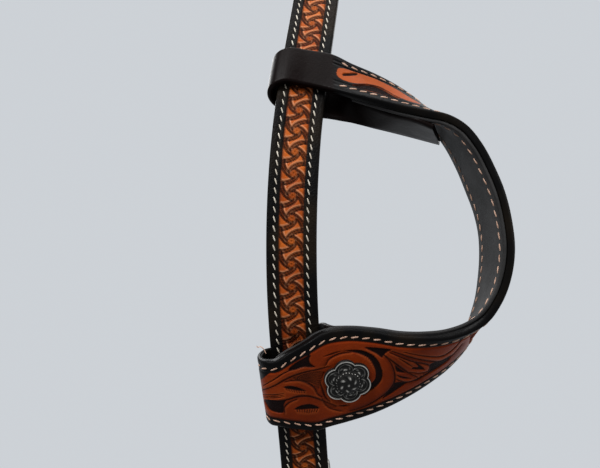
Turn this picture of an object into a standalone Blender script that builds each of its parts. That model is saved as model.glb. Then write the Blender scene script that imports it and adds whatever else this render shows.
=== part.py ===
"""Western slip-ear headstall: two-ply crown, sliding tooled ear piece, buckled cheeks and bit loops.

Metres, +Z up, +X towards the horse's nose. The crown's seat on the poll is the origin, the off
side lies at -Y and the near side at +Y. Straps are drawn in strap coordinates: across the strap,
along it from the poll, and out from its inner face.
"""
import math

import bmesh
import bpy
from mathutils import Vector

# Path of the strap's inner face, from the poll down one side
POLL_RADIUS = 0.0600
POLL_ANGLE = math.radians(64.0)
BOW_START = 0.0920
BOW_RADIUS = 0.1850
BOW_END = 0.2440
JAW_RADIUS = 0.1300
CHEEK_ANGLE = math.radians(90.0)
HALF_LENGTH = 0.5350
SWEEP_START = 0.1120
SWEEP_END = 0.2080
SWEEP_TOP = math.radians(7.4)
SWEEP_LOW = math.radians(-4.0)
TURN_STEP = math.radians(5.0)

# Strap stock
STRAP_WIDTH = 0.0190
FACE_PLY = 0.0026
LINING_PLY = 0.0019
PLY_GAP = 0.0003
EDGE_BEVEL = 0.0006
LINING_BEVEL = 0.00015

# Crown ends and holes
POINT_LENGTH = 0.0150
TIP_LAND = 0.0112
HOLE_FIRST = 0.2083
HOLE_PITCH = 0.03175
HOLE_COUNT = 7
HOLE_RADIUS = 0.0024
BUCKLED_HOLE = 4
TONGUE_SLOT = 0.0100
HOLE_LAND = 0.0010

# Cheeks
CHEEK_PLY = 0.0024
CHEEK_GAP = 0.0004
FOLD_TAIL = 0.0380
BIT_LOOP_RADIUS = 0.0065
BIT_LOOP_NECK = 0.0180
BIT_TAIL = 0.0280
BIT_CONCHO_RISE = 0.0150

# Buckles and keepers
BUCKLE_LENGTH = 0.0260
BUCKLE_WIRE = 0.0016
BUCKLE_SIDE_GAP = 0.0009
BUCKLE_TOP_CORNER = 0.0040
BUCKLE_HEEL_CORNER = 0.0023
WIRE_GAP = 0.0003
TONGUE_WIRE = 0.0012
TONGUE_EYE_GAP = 0.0002
TONGUE_LEAD = 0.0034
TONGUE_SLOPE = math.radians(53.0)
TONGUE_CURL = math.radians(295.0)
TONGUE_GAP = 0.0006
KEEPER_PLY = 0.0018
KEEPER_WIDTH = 0.0100
KEEPER_GAP = 0.0006
FIXED_KEEPER_DROP = 0.0230
SLIDING_KEEPER_DROP = 0.0630

# Ear piece
EAR_FACE_PLY = 0.0029
EAR_LINING_PLY = 0.0014
EAR_TAIL_PLY = 0.0019
EAR_REACH = 0.0800
EAR_TOP = 0.0976
EAR_HEIGHT = 0.1456
EAR_WIDTH = 0.0265
BAND_WIDTH = 0.0153
LOOP_GAP = 0.0010
LOOP_SIDE_GAP = 0.0021
WIDE_END_LIFT = 0.0040
WIDE_END_SKEW = 0.0011
TAIL_CLEARANCE = 0.0006
LINING_INSET = 0.0006
SOFT_SHARE = 0.33

# Conchos and their screws
CONCHO_RADIUS = 0.0092
CONCHO_RIM = 0.0014
CONCHO_DOME = 0.0034
CONCHO_GAP = 0.0008
POST_RADIUS = 0.0024
POST_BORE = 0.0015
SCREW_RADIUS = 0.0012
SCREW_HEAD_RADIUS = 0.0029
SCREW_HEAD = 0.0011
POST_HOLE_GAP = 0.0004
SCREW_SEAT_GAP = 0.0008
LOBES = 6
LOBE_CENTRE_SHARE = 0.53
LOBE_RADIUS_SHARE = 0.47
LOBE_TURN = math.radians(17.0)

OVERRUN = 0.0040
MERGE_GAP = 0.00001
CREASE_ANGLE = math.radians(35.0)
ROUND_SIDES = 12
FOLD_SIDES = 8
BIT_LOOP_SIDES = 15
CURL_STEPS = 10
CONCHO_SIDES = 36
WIRE_SIDES = 8

RIGHT = 1
LEFT = -1
SIDES = {"right": RIGHT, "left": LEFT}

LEATHER_TAN = (0.46, 0.17, 0.055)
LEATHER_BLACK = (0.012, 0.011, 0.012)
LEATHER_BROWN = (0.028, 0.018, 0.015)
LINING_GREY = (0.045, 0.043, 0.048)
OLD_SILVER = (0.32, 0.31, 0.29)

# Derived sizes
STRAP_HALF = STRAP_WIDTH / 2
STRAP_THICKNESS = FACE_PLY + PLY_GAP + LINING_PLY
POLL_END = POLL_RADIUS * POLL_ANGLE
BOW_ANGLE = POLL_ANGLE + (BOW_END - BOW_START) / BOW_RADIUS
JAW_END = BOW_END + JAW_RADIUS * (BOW_ANGLE - CHEEK_ANGLE)
SEAT_LIFT = POLL_RADIUS * (1 - math.cos(TURN_STEP / 2))
TONGUE_HOLE = HOLE_FIRST + BUCKLED_HOLE * HOLE_PITCH
CROWN_TIP = HOLE_FIRST + (HOLE_COUNT - 1) * HOLE_PITCH + TIP_LAND + POINT_LENGTH
HEEL_BAR = TONGUE_HOLE + TONGUE_LEAD
CHEEK_FACE_MID = -CHEEK_GAP - CHEEK_PLY / 2
CHEEK_BACK_MID = CHEEK_FACE_MID - CHEEK_PLY - PLY_GAP
CHEEK_BACK = CHEEK_BACK_MID - CHEEK_PLY / 2
FOLD_RADIUS = BUCKLE_WIRE + WIRE_GAP + CHEEK_PLY / 2
HEEL_OUT = CHEEK_FACE_MID - FOLD_RADIUS
BIT_LOOP_MID = BIT_LOOP_RADIUS + CHEEK_PLY / 2
BIT_LOOP_AT = HALF_LENGTH - BIT_LOOP_MID - CHEEK_PLY / 2
BIT_LOOP_OUT = (CHEEK_FACE_MID + CHEEK_BACK_MID) / 2
BIT_TAIL_END = BIT_LOOP_AT - BIT_LOOP_NECK - BIT_TAIL
BIT_CONCHO_AT = BIT_LOOP_AT - BIT_LOOP_NECK - BIT_CONCHO_RISE
EAR_STACK = EAR_FACE_PLY + PLY_GAP + EAR_LINING_PLY
BAND_OUT = STRAP_THICKNESS + LOOP_GAP + EAR_FACE_PLY
TAIL_OUT = -LOOP_GAP - EAR_TAIL_PLY

# Curve knots: distance along the strap, then heading below level or slope towards the nose
HEADING_KNOTS = [
    (0.0, 0.0),
    (POLL_END, POLL_ANGLE),
    (BOW_START, POLL_ANGLE),
    (BOW_END, BOW_ANGLE),
    (JAW_END, CHEEK_ANGLE),
    (HALF_LENGTH, CHEEK_ANGLE),
]
SWEEP_KNOTS = [
    (0.0, 0.0),
    (POLL_END, math.tan(SWEEP_TOP)),
    (SWEEP_START, math.tan(SWEEP_TOP)),
    (SWEEP_END, math.tan(SWEEP_LOW)),
    (HALF_LENGTH, math.tan(SWEEP_LOW)),
]

# Ear piece outline from the strap's right edge round the loop and back: for the near and the far
# edge, reach past the strap, distance down the ear and offset from the strap's middle
EAR_SHARES = [
    ((0.007, 0.115, 0.264), (0.007, 0.004, 0.230)),
    ((0.142, 0.132, 0.340), (0.128, 0.018, 0.158)),
    ((0.277, 0.147, 0.408), (0.270, 0.025, 0.023)),
    ((0.411, 0.162, 0.468), (0.418, 0.037, -0.147)),
    ((0.539, 0.173, 0.509), (0.553, 0.063, -0.298)),
    ((0.652, 0.180, 0.513), (0.667, 0.106, -0.411)),
    ((0.745, 0.203, 0.513), (0.759, 0.166, -0.475)),
    ((0.823, 0.247, 0.513), (0.834, 0.242, -0.487)),
    ((0.892, 0.309, 0.513), (0.898, 0.329, -0.487)),
    ((0.949, 0.379, 0.513), (0.946, 0.405, -0.487)),
    ((0.984, 0.453, 0.513), (0.974, 0.480, -0.487)),
    ((0.999, 0.532, 0.513), (0.980, 0.562, -0.487)),
    ((0.980, 0.607, 0.513), (0.970, 0.645, -0.487)),
    ((0.932, 0.672, 0.513), (0.949, 0.725, -0.487)),
    ((0.858, 0.723, 0.513), (0.906, 0.796, -0.468)),
    ((0.766, 0.749, 0.513), (0.837, 0.851, -0.377)),
    ((0.660, 0.760, 0.513), (0.723, 0.894, -0.204)),
    ((0.539, 0.759, 0.498), (0.574, 0.927, -0.023)),
    ((0.404, 0.751, 0.468), (0.418, 0.956, 0.098)),
    ((0.270, 0.738, 0.395), (0.277, 0.977, 0.170)),
    ((0.130, 0.730, 0.377), (0.130, 0.992, 0.219)),
    ((0.021, 0.735, 0.400), (0.021, 0.999, 0.264)),
]
CONCHO_STATION = 20
LINING_FIRST = 1

# Top tail, from the strap's right edge to its end inside the loop: as above
TOP_TAIL_SHARES = [
    ((0.021, 0.162, -0.189), (0.021, 0.050, -0.226)),
    ((0.121, 0.157, -0.264), (0.125, 0.076, -0.140)),
    ((0.222, 0.152, -0.294), (0.235, 0.122, 0.050)),
    ((0.333, 0.151, -0.336), (0.355, 0.170, 0.235)),
    ((0.455, 0.153, -0.400), (0.475, 0.195, 0.385)),
    ((0.655, 0.163, -0.468), (0.580, 0.211, 0.440)),
]

# Lower tail past the strap: reach, distance down the ear of both edges, share of the way from
# the strap's back to the lining
LOWER_TAIL_SHARES = [
    (0.010, 0.738, 0.985, 0.00),
    (0.034, 0.734, 0.980, 0.20),
    (0.058, 0.732, 0.975, 0.60),
    (0.080, 0.731, 0.970, 0.88),
    (0.105, 0.730, 0.965, 0.98),
    (0.200, 0.735, 0.950, 1.00),
    (0.275, 0.760, 0.925, 1.00),
]

# Wide end over the strap: across the strap, distance down the ear of both edges
WIDE_END_SHARES = [
    (0.70, 0.746, 1.002),
    (-0.10, 0.771, 0.996),
    (-0.86, 0.793, 0.984),
]
WIDE_BACK_SHARES = [
    (-0.86, 0.797, 0.984),
    (0.30, 0.762, 0.985),
]
BAND_SHARES = (-0.86, 0.10)
BAND_DROP_SHARE = 0.105
BACK_DROP_SHARE = 0.146
BACK_SLOPE_SHARE = 0.016
CORNER_STEPS = 3
FOLD_STEPS = 5
ROWS_PER_STATION = 4
RING_INNER = 4

POINT_SHARES = [(0.0, 1.0), (0.45, 0.80), (0.80, 0.45), (1.0, 0.14)]
FOLD_EASE_SHARES = [(0.10, 0.97), (0.25, 0.62), (0.40, 0.16), (0.52, 0.0)]
TONGUE_SHARES = [(0.12, 0.45), (0.25, 0.76), (0.46, 0.95), (0.73, 1.0), (1.0, 1.0), (1.10, 0.97)]
CONCHO_PROFILE_SHARES = [
    (0.30, 0.95), (0.52, 0.66), (0.66, 0.76), (0.84, 0.60), (0.93, 0.88), (1.0, 0.60)]


def clear_scene():
    """Empty the scene."""
    for item in list(bpy.data.objects):
        bpy.data.objects.remove(item, do_unlink=True)


def material(name, colour, roughness, metallic=0.0):
    """A Principled material, made once for each name."""
    made = bpy.data.materials.get(name) or bpy.data.materials.new(name)
    made.use_nodes = True
    shader = made.node_tree.nodes["Principled BSDF"]
    shader.inputs["Base Color"].default_value = (*colour, 1.0)
    shader.inputs["Roughness"].default_value = roughness
    shader.inputs["Metallic"].default_value = metallic
    made.diffuse_color = (*colour, 1.0)
    return made


def heading(along):
    """Angle of the strap below level at a distance from the poll."""
    for (start, first), (end, last) in zip(HEADING_KNOTS, HEADING_KNOTS[1:]):
        if along <= end:
            return first + (last - first) * (along - start) / (end - start)
    return CHEEK_ANGLE


def sweep(along):
    """Slope of the strap away from the nose at a distance from the poll."""
    for (start, first), (end, last) in zip(SWEEP_KNOTS, SWEEP_KNOTS[1:]):
        if along <= end:
            return first + (last - first) * (along - start) / (end - start)
    return SWEEP_KNOTS[-1][1]


def centre_line(along):
    """Point on the middle of the strap's inner face, on the right side."""
    point = Vector((0.0, 0.0, SEAT_LIFT))
    for (start, first), (end, last) in zip(SWEEP_KNOTS, SWEEP_KNOTS[1:]):
        span = min(along, end) - start
        if span <= 0:
            break
        slope_end = first + (last - first) * span / (end - start)
        point.x -= span * (first + slope_end) / 2
    for (start, first), (end, last) in zip(HEADING_KNOTS, HEADING_KNOTS[1:]):
        span = min(along, end) - start
        if span <= 0:
            break
        turn = (last - first) / (end - start)
        angle = first + turn * span
        if turn:
            point.y -= (math.sin(angle) - math.sin(first)) / turn
            point.z += (math.cos(angle) - math.cos(first)) / turn
        else:
            point.y -= span * math.cos(first)
            point.z -= span * math.sin(first)
    return point


def axes_at(along):
    """Across, down and outward directions of the strap on the right side."""
    angle = heading(along)
    normal = Vector((0.0, -math.sin(angle), math.cos(angle)))
    down = Vector((-sweep(along), -math.cos(angle), -math.sin(angle))).normalized()
    return normal.cross(down), down, normal


def place(across, along, out, side=RIGHT):
    """World point of strap coordinates; a negative distance along is the other side."""
    if along < 0:
        side = -side
    across_axis, _, normal = axes_at(abs(along))
    point = centre_line(abs(along)) + across_axis * across + normal * out
    return Vector((point.x, point.y * side, point.z))


def stations_between(start, end):
    """Distances along the strap from start to end, closer where it turns."""
    marks = {start, end}
    for (first, angle), (last, angle_end) in zip(HEADING_KNOTS, HEADING_KNOTS[1:]):
        count = max(1, math.ceil(abs(angle_end - angle) / TURN_STEP))
        marks.update(first + (last - first) * (step + 0.5) / count for step in range(count))
        marks.add(last)
    return sorted(mark for mark in marks if start <= mark <= end)


def new_object(name, rings, look, closed_path=False, origin=None, inner_from=None):
    """Loft rings of points into one closed body, with its origin at a given point.

    From the point inner_from on, a ring runs back along the inner surface, and its quads are
    split so that both surfaces of a ply fold along the same lines.
    """
    origin = origin or Vector()
    mesh = bmesh.new()
    loops = [[mesh.verts.new(point - origin) for point in ring] for ring in rings]
    pairs = list(zip(loops, loops[1:]))
    if closed_path:
        pairs.append((loops[-1], loops[0]))
    for first, second in pairs:
        for index, vert in enumerate(first):
            follow = (index + 1) % len(first)
            corners = [vert, first[follow], second[follow], second[index]]
            if inner_from is None:
                mesh.faces.new(corners)
                continue
            if index >= inner_from:
                corners = corners[1:] + corners[:1]
            mesh.faces.new(corners[:3])
            mesh.faces.new(corners[2:] + corners[:1])
    if not closed_path:
        mesh.faces.new(list(reversed(loops[0])))
        mesh.faces.new(loops[-1])
    bmesh.ops.recalc_face_normals(mesh, faces=mesh.faces)
    data = bpy.data.meshes.new(name)
    mesh.to_mesh(data)
    mesh.free()
    data.shade_smooth()
    data.set_sharp_from_angle(angle=CREASE_ANGLE)
    data.materials.append(look)
    made = bpy.data.objects.new(name, data)
    made.location = origin
    bpy.context.scene.collection.objects.link(made)
    return made


def cutter(name, rings, targets):
    """A hidden guide body that is cut out of the targets."""
    guide = new_object(name, rings, material("guide", OLD_SILVER, 0.5))
    guide.hide_render = True
    guide.display_type = "WIRE"
    for target in targets:
        cut = target.modifiers.new(name, "BOOLEAN")
        cut.operation = "DIFFERENCE"
        cut.object = guide
    return guide


def strap_section(along, half, low, high, bevel, side=RIGHT):
    """Section of a flat ply with its outer corners bevelled."""
    cut = min(bevel, half / 2)
    outline = [
        (-half, low), (-half, high - cut), (-half + cut, high),
        (half - cut, high), (half, high - cut), (half, low)]
    return [place(across, along, out, side) for across, out in outline]


def crown_stations():
    """Distances and half widths along the whole crown, from the left tip to the right."""
    marks = [mark for mark in stations_between(0.0, CROWN_TIP - POINT_LENGTH) if mark > 0]
    for index in range(HOLE_COUNT):
        centre = HOLE_FIRST + index * HOLE_PITCH
        reach = (TONGUE_SLOT / 2 if index == BUCKLED_HOLE else HOLE_RADIUS) + HOLE_LAND
        marks = [mark for mark in marks if abs(mark - centre) > reach + HOLE_LAND]
        marks += [centre - reach, centre + reach]
    half_run = [(mark, STRAP_HALF) for mark in sorted(marks)]
    for reach, width in POINT_SHARES[1:]:
        half_run.append((CROWN_TIP - POINT_LENGTH * (1 - reach), STRAP_HALF * width))
    return [(-along, half) for along, half in reversed(half_run)] + half_run


def round_ring(centre, axis, radius, sides):
    """Points of a circle square to an axis."""
    helper = Vector((1.0, 0.0, 0.0)) if abs(axis.x) < abs(axis.z) else Vector((0.0, 0.0, 1.0))
    first = axis.cross(helper).normalized()
    second = axis.cross(first).normalized()
    turn = math.tau / sides
    return [
        centre + (first * math.cos(turn * step) + second * math.sin(turn * step)) * radius
        for step in range(sides)]


def crown():
    """Face and lining of the crown, punched for the tongues."""
    tan = material("tooled_tan", LEATHER_TAN, 0.42)
    black = material("strap_lining", LEATHER_BLACK, 0.5)
    levels = {"crown_face": (LINING_PLY + PLY_GAP, STRAP_THICKNESS, EDGE_BEVEL, tan),
              "crown_lining": (0.0, LINING_PLY, LINING_BEVEL, black)}
    plies = []
    for name, (low, high, bevel, look) in levels.items():
        rings = [
            strap_section(along, half, low, high, bevel)
            for along, half in crown_stations()]
        plies.append(new_object(name, rings, look))
    for side_name, side in SIDES.items():
        for index in range(HOLE_COUNT):
            along = HOLE_FIRST + index * HOLE_PITCH
            slot = TONGUE_SLOT / 2 - HOLE_RADIUS if index == BUCKLED_HOLE else 0.0
            rings = []
            for out in (-OVERRUN, STRAP_THICKNESS + OVERRUN):
                ring = []
                for step in range(ROUND_SIDES):
                    angle = math.tau * (step + 0.5) / ROUND_SIDES
                    reach = HOLE_RADIUS * math.sin(angle)
                    reach += math.copysign(slot, math.sin(angle))
                    ring.append(place(HOLE_RADIUS * math.cos(angle), along + reach, out, side))
                rings.append(ring)
            cutter(f"{side_name}_hole_{index + 1}", rings, plies)


def offset_path(path, distance):
    """Points of a flat path moved sideways, to its left."""
    moved = []
    for index, point in enumerate(path):
        before = path[max(index - 1, 0)]
        after = path[min(index + 1, len(path) - 1)]
        run = Vector((after[0] - before[0], after[1] - before[1])).normalized()
        moved.append((point[0] - run.y * distance, point[1] + run.x * distance))
    return moved


def cheek_path():
    """Middle of the cheek's face ply, as along and out: fold tail, buckle fold, front, bit loop."""
    path = [(HEEL_BAR + FOLD_TAIL, CHEEK_BACK_MID)]
    fold_back = HEEL_OUT - FOLD_RADIUS
    for reach, share in reversed(FOLD_EASE_SHARES):
        out = CHEEK_BACK_MID + (fold_back - CHEEK_BACK_MID) * share
        path.append((HEEL_BAR + FOLD_TAIL * reach, out))
    for step in range(FOLD_SIDES + 1):
        angle = math.pi * step / FOLD_SIDES - math.pi / 2
        path.append((
            HEEL_BAR - FOLD_RADIUS * math.cos(angle), HEEL_OUT + FOLD_RADIUS * math.sin(angle)))
    neck = BIT_LOOP_AT - BIT_LOOP_NECK
    path.append((neck, CHEEK_FACE_MID))
    half_neck = CHEEK_FACE_MID - BIT_LOOP_OUT
    lean = math.asin((BIT_LOOP_MID - half_neck) / BIT_LOOP_NECK)
    for step in range(BIT_LOOP_SIDES + 1):
        angle = (math.pi / 2 + lean) * (1 - 2 * step / BIT_LOOP_SIDES)
        path.append((
            BIT_LOOP_AT + BIT_LOOP_MID * math.cos(angle),
            BIT_LOOP_OUT + BIT_LOOP_MID * math.sin(angle)))
    path.append((neck, CHEEK_BACK_MID))
    path.append((BIT_TAIL_END, CHEEK_BACK_MID))
    return path


def strip(name, path, thickness, half, side, look):
    """A flat strap of one ply that follows a path in the plane across which it is wide."""
    outer = offset_path(path, thickness / 2)
    inner = offset_path(path, -thickness / 2)
    rings = [
        [place(across, along, out, side) for across, (along, out) in
         ((-half, high), (half, high), (half, low), (-half, low))]
        for high, low in zip(outer, inner)]
    return new_object(name, rings, look)


def cheek(side_name, side):
    """Face ply with its buckle fold and bit loop, and the lining between the fold tails."""
    tan = material("tooled_tan", LEATHER_TAN, 0.42)
    black = material("strap_lining", LEATHER_BLACK, 0.5)
    face = strip(f"{side_name}_cheek_face", cheek_path(), CHEEK_PLY, STRAP_HALF, side, tan)
    ends = [
        (HEEL_BAR + FOLD_TAIL + PLY_GAP, CHEEK_BACK_MID), (BIT_TAIL_END - PLY_GAP, CHEEK_BACK_MID)]
    strip(f"{side_name}_cheek_lining", ends, CHEEK_PLY, STRAP_HALF, side, black)
    slot_half = TONGUE_WIRE + TONGUE_GAP
    slot_top = HEEL_BAR - FOLD_RADIUS - OVERRUN
    slot_low = HEEL_BAR + FOLD_RADIUS + OVERRUN
    rings = []
    for out in (HEEL_OUT - FOLD_RADIUS - OVERRUN, CHEEK_FACE_MID + CHEEK_PLY):
        corners = [
            (-slot_half, slot_top), (slot_half, slot_top),
            (slot_half, slot_low), (-slot_half, slot_low)]
        rings.append([place(across, along, out, side) for across, along in corners])
    cutter(f"{side_name}_tongue_slot", rings, [face])


def bend_tube(name, path, radius, sides, look, to_world, closed=False, origin=None):
    """A round wire along a flat path of (u, v), with w square to it, mapped by to_world."""
    rings = []
    count = len(path)
    for index, (u, v) in enumerate(path):
        before = path[(index - 1) % count if closed else max(index - 1, 0)]
        after = path[(index + 1) % count if closed else min(index + 1, count - 1)]
        run = Vector((after[0] - before[0], after[1] - before[1])).normalized()
        ring = []
        for step in range(sides):
            angle = math.tau * (step + 0.5) / sides
            shift = radius * math.cos(angle)
            ring.append(to_world(u - run.y * shift, v + run.x * shift, radius * math.sin(angle)))
        rings.append(ring)
    return new_object(name, rings, look, closed, origin)


def buckle_frame(side_name, side):
    """Rounded rectangular wire frame, its heel bar in the cheek's fold, its top over the crown."""
    silver = material("old_silver", OLD_SILVER, 0.35, 1.0)
    top_out = STRAP_THICKNESS + WIRE_GAP + BUCKLE_WIRE
    half = STRAP_HALF + BUCKLE_SIDE_GAP + BUCKLE_WIRE
    length = math.hypot(BUCKLE_LENGTH, top_out - HEEL_OUT)
    rise = (top_out - HEEL_OUT) / length
    run = BUCKLE_LENGTH / length

    def to_world(across, up, out):
        return place(
            across, HEEL_BAR - up * run + out * rise, HEEL_OUT + up * rise + out * run, side)

    path = []
    corners = [(half, 0.0, 3), (half, length, 0), (-half, length, 1), (-half, 0.0, 2)]
    for across, up, quarter in corners:
        corner = BUCKLE_TOP_CORNER if up else BUCKLE_HEEL_CORNER
        centre_across = across - math.copysign(corner, across)
        centre_up = up - corner if up else corner
        path += [
            (centre_across + corner * cosine, centre_up + corner * sine)
            for cosine, sine in quarter_turn(quarter)]
    bend_tube(f"{side_name}_buckle_frame", path, BUCKLE_WIRE, WIRE_SIDES, silver, to_world, True)


def buckle_tongue(side_name, side):
    """Wire tongue curled round the heel bar, through the crown and over the frame's top bar."""
    silver = material("old_silver", OLD_SILVER, 0.35, 1.0)
    eye = BUCKLE_WIRE + TONGUE_EYE_GAP + TONGUE_WIRE
    leave = math.pi / 2 - TONGUE_SLOPE
    path = []
    for step in range(CURL_STEPS + 1):
        angle = TONGUE_CURL * (step / CURL_STEPS - 1) - leave
        path.append((eye * math.sin(angle), eye * math.cos(angle)))
    rest = STRAP_THICKNESS + WIRE_GAP + BUCKLE_WIRE + BUCKLE_WIRE + TONGUE_EYE_GAP + TONGUE_WIRE
    rise = rest - HEEL_OUT
    path += [(BUCKLE_LENGTH * reach, rise * share) for reach, share in TONGUE_SHARES]

    def to_world(up, out, across):
        return place(across, HEEL_BAR - up, HEEL_OUT + out, side)

    origin = place(0.0, HEEL_BAR, HEEL_OUT, side)
    bend_tube(
        f"{side_name}_buckle_tongue", path, TONGUE_WIRE, WIRE_SIDES, silver, to_world, False, origin)


def quarter_turn(quarter):
    """Unit directions through one quarter of a turn, counted from the first axis."""
    angles = [math.pi / 2 * (quarter + step / CORNER_STEPS) for step in range(CORNER_STEPS + 1)]
    return [(math.cos(angle), math.sin(angle)) for angle in angles]


def keeper(name, drop, side, origin=None):
    """Leather loop round the crown's end and the cheek."""
    brown = material("plain_brown", LEATHER_BROWN, 0.5)
    along = HEEL_BAR + drop
    half = STRAP_HALF + KEEPER_GAP
    low = CHEEK_BACK - KEEPER_GAP
    high = STRAP_THICKNESS + KEEPER_GAP
    rings = []
    corners = [(half, low, 3), (half, high, 0), (-half, high, 1), (-half, low, 2)]
    for across, out, quarter in corners:
        for turn in quarter_turn(quarter):
            ring = []
            for radius, width in ((0.0, -1), (0.0, 1), (KEEPER_PLY, 1), (KEEPER_PLY, -1)):
                ring.append(place(
                    across + turn[0] * radius, along + width * KEEPER_WIDTH / 2,
                    out + turn[1] * radius, side))
            rings.append(ring)
    return merged(new_object(name, rings, brown, True, origin))


def merged(made):
    """Join the doubled points where a bend has no inner radius."""
    mesh = bmesh.new()
    mesh.from_mesh(made.data)
    bmesh.ops.remove_doubles(mesh, verts=mesh.verts, dist=MERGE_GAP)
    bmesh.ops.recalc_face_normals(mesh, faces=mesh.faces)
    mesh.to_mesh(made.data)
    mesh.free()
    return made


def smooth_stations(stations, samples):
    """Points along a smooth curve through stations, which are tuples of edge coordinates."""
    def blend(before, first, second, after, share):
        span = [distance(first, before), distance(second, first), distance(after, second)]
        result = []
        for low, start, end, high in zip(before, first, second, after):
            middle = (end - start) / span[1]
            left = (start - low) / span[0] if span[0] else middle
            right = (high - end) / span[2] if span[2] else middle
            tangent = (left * span[1] + middle * span[0]) / (span[0] + span[1]) * span[1]
            tangent_end = (right * span[1] + middle * span[2]) / (span[1] + span[2]) * span[1]
            cube = share ** 3
            square = share ** 2
            result.append(
                start * (2 * cube - 3 * square + 1) + tangent * (cube - 2 * square + share)
                + end * (3 * square - 2 * cube) + tangent_end * (cube - square))
        return tuple(result)

    rows = []
    last = len(stations) - 1
    for index in range(last):
        before = stations[max(index - 1, 0)]
        after = stations[min(index + 2, last)]
        for step in range(samples):
            rows.append(blend(before, stations[index], stations[index + 1], after, step / samples))
    rows.append(stations[last])
    return rows


def distance(first, second):
    """Length between two stations."""
    return math.sqrt(sum((a - b) ** 2 for a, b in zip(first, second)))


def ear_edge(shares):
    """Strap coordinates of an edge point of the ear piece, from its shares."""
    reach, drop, offset = shares
    return (
        STRAP_HALF + reach * (EAR_REACH - STRAP_HALF), EAR_TOP + drop * EAR_HEIGHT,
        STRAP_THICKNESS / 2 + offset * EAR_WIDTH)


def fold_stations(front, back, near_edge, far_edge):
    """Half turn of the ear piece round the strap's left edge, between two stations."""
    rows = []
    for step in range(1, FOLD_STEPS):
        angle = math.pi * step / FOLD_STEPS
        along_share = step / FOLD_STEPS
        row = []
        for start, end, edge in ((front[0:3], back[0:3], near_edge), (front[3:6], back[3:6], far_edge)):
            middle = (start[2] + end[2]) / 2
            row += [
                start[0] + (edge - start[0]) * math.sin(angle),
                start[1] + (end[1] - start[1]) * along_share,
                middle + (start[2] - middle) * math.cos(angle)]
        row.append(EAR_TAIL_PLY if step > 1 else (EAR_TAIL_PLY + EAR_FACE_PLY) / 2)
        rows.append(tuple(row))
    return rows


def ear_stations():
    """All stations of the ear face: near edge, far edge and thickness, tail end to tail end."""
    tail_back = EAR_TOP + BACK_DROP_SHARE * EAR_HEIGHT
    top_tail = [
        (*ear_edge(near), *ear_edge(far), EAR_TAIL_PLY) for near, far in reversed(TOP_TAIL_SHARES)]
    for step, share in enumerate(reversed(BAND_SHARES)):
        across = share * STRAP_HALF
        low = tail_back + (1 - step) * BACK_SLOPE_SHARE * EAR_HEIGHT
        top_tail.append((across, low, TAIL_OUT, across, low - BAND_WIDTH, TAIL_OUT, EAR_TAIL_PLY))
    band = []
    for share in BAND_SHARES:
        across = share * STRAP_HALF
        low = EAR_TOP + BAND_DROP_SHARE * EAR_HEIGHT
        band.append((across, low, BAND_OUT, across, low - BAND_WIDTH, BAND_OUT, EAR_FACE_PLY))
    edge = -STRAP_HALF - LOOP_SIDE_GAP - EAR_TAIL_PLY
    top_fold = fold_stations(band[0], top_tail[-1], edge, edge)
    top_fold.reverse()
    loop = [(*ear_edge(near), *ear_edge(far), EAR_FACE_PLY) for near, far in EAR_SHARES]
    wide = []
    for share, near, far in WIDE_END_SHARES:
        across = share * STRAP_HALF
        wide.append((
            across, EAR_TOP + near * EAR_HEIGHT,
            STRAP_THICKNESS + LOOP_GAP + EAR_STACK + WIDE_END_LIFT,
            across, EAR_TOP + far * EAR_HEIGHT,
            STRAP_THICKNESS + LOOP_GAP + EAR_STACK, EAR_FACE_PLY))
    lower_tail = []
    for share, near, far in WIDE_BACK_SHARES:
        across = share * STRAP_HALF
        lower_tail.append((
            across, EAR_TOP + near * EAR_HEIGHT, TAIL_OUT,
            across, EAR_TOP + far * EAR_HEIGHT, TAIL_OUT, EAR_TAIL_PLY))
    for reach, near, far, join in LOWER_TAIL_SHARES:
        lower_tail.append(lower_tail_station(reach, near, far, join))
    fold = fold_stations(wide[-1], lower_tail[0], edge - WIDE_END_SKEW, edge)
    return top_tail + top_fold + band, loop, wide, fold + lower_tail


def front_at(across):
    """Both edges of the ear's outer face right of the strap, at a distance across."""
    rows = [(*ear_edge(near), *ear_edge(far)) for near, far in EAR_SHARES[CONCHO_STATION - 3:]]
    for first, second in zip(rows, rows[1:]):
        if second[0] <= across <= first[0]:
            share = (across - first[0]) / (second[0] - first[0])
            return [a + (b - a) * share for a, b in zip(first, second)]
    return rows[-1]


def lower_tail_station(reach, near, far, join):
    """A station of the lower tail, which closes on the lining under the concho."""
    across, near_along, _ = ear_edge((reach, near, 0.0))
    _, far_along, _ = ear_edge((reach, far, 0.0))
    front = front_at(across)
    seat = EAR_STACK + TAIL_CLEARANCE + EAR_TAIL_PLY
    row = []
    for along in (near_along, far_along):
        share = (along - front[1]) / (front[4] - front[1])
        level = front[2] + share * (front[5] - front[2])
        row += [across, along, TAIL_OUT + join * (level - seat - TAIL_OUT)]
    return (*row, EAR_TAIL_PLY)


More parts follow.
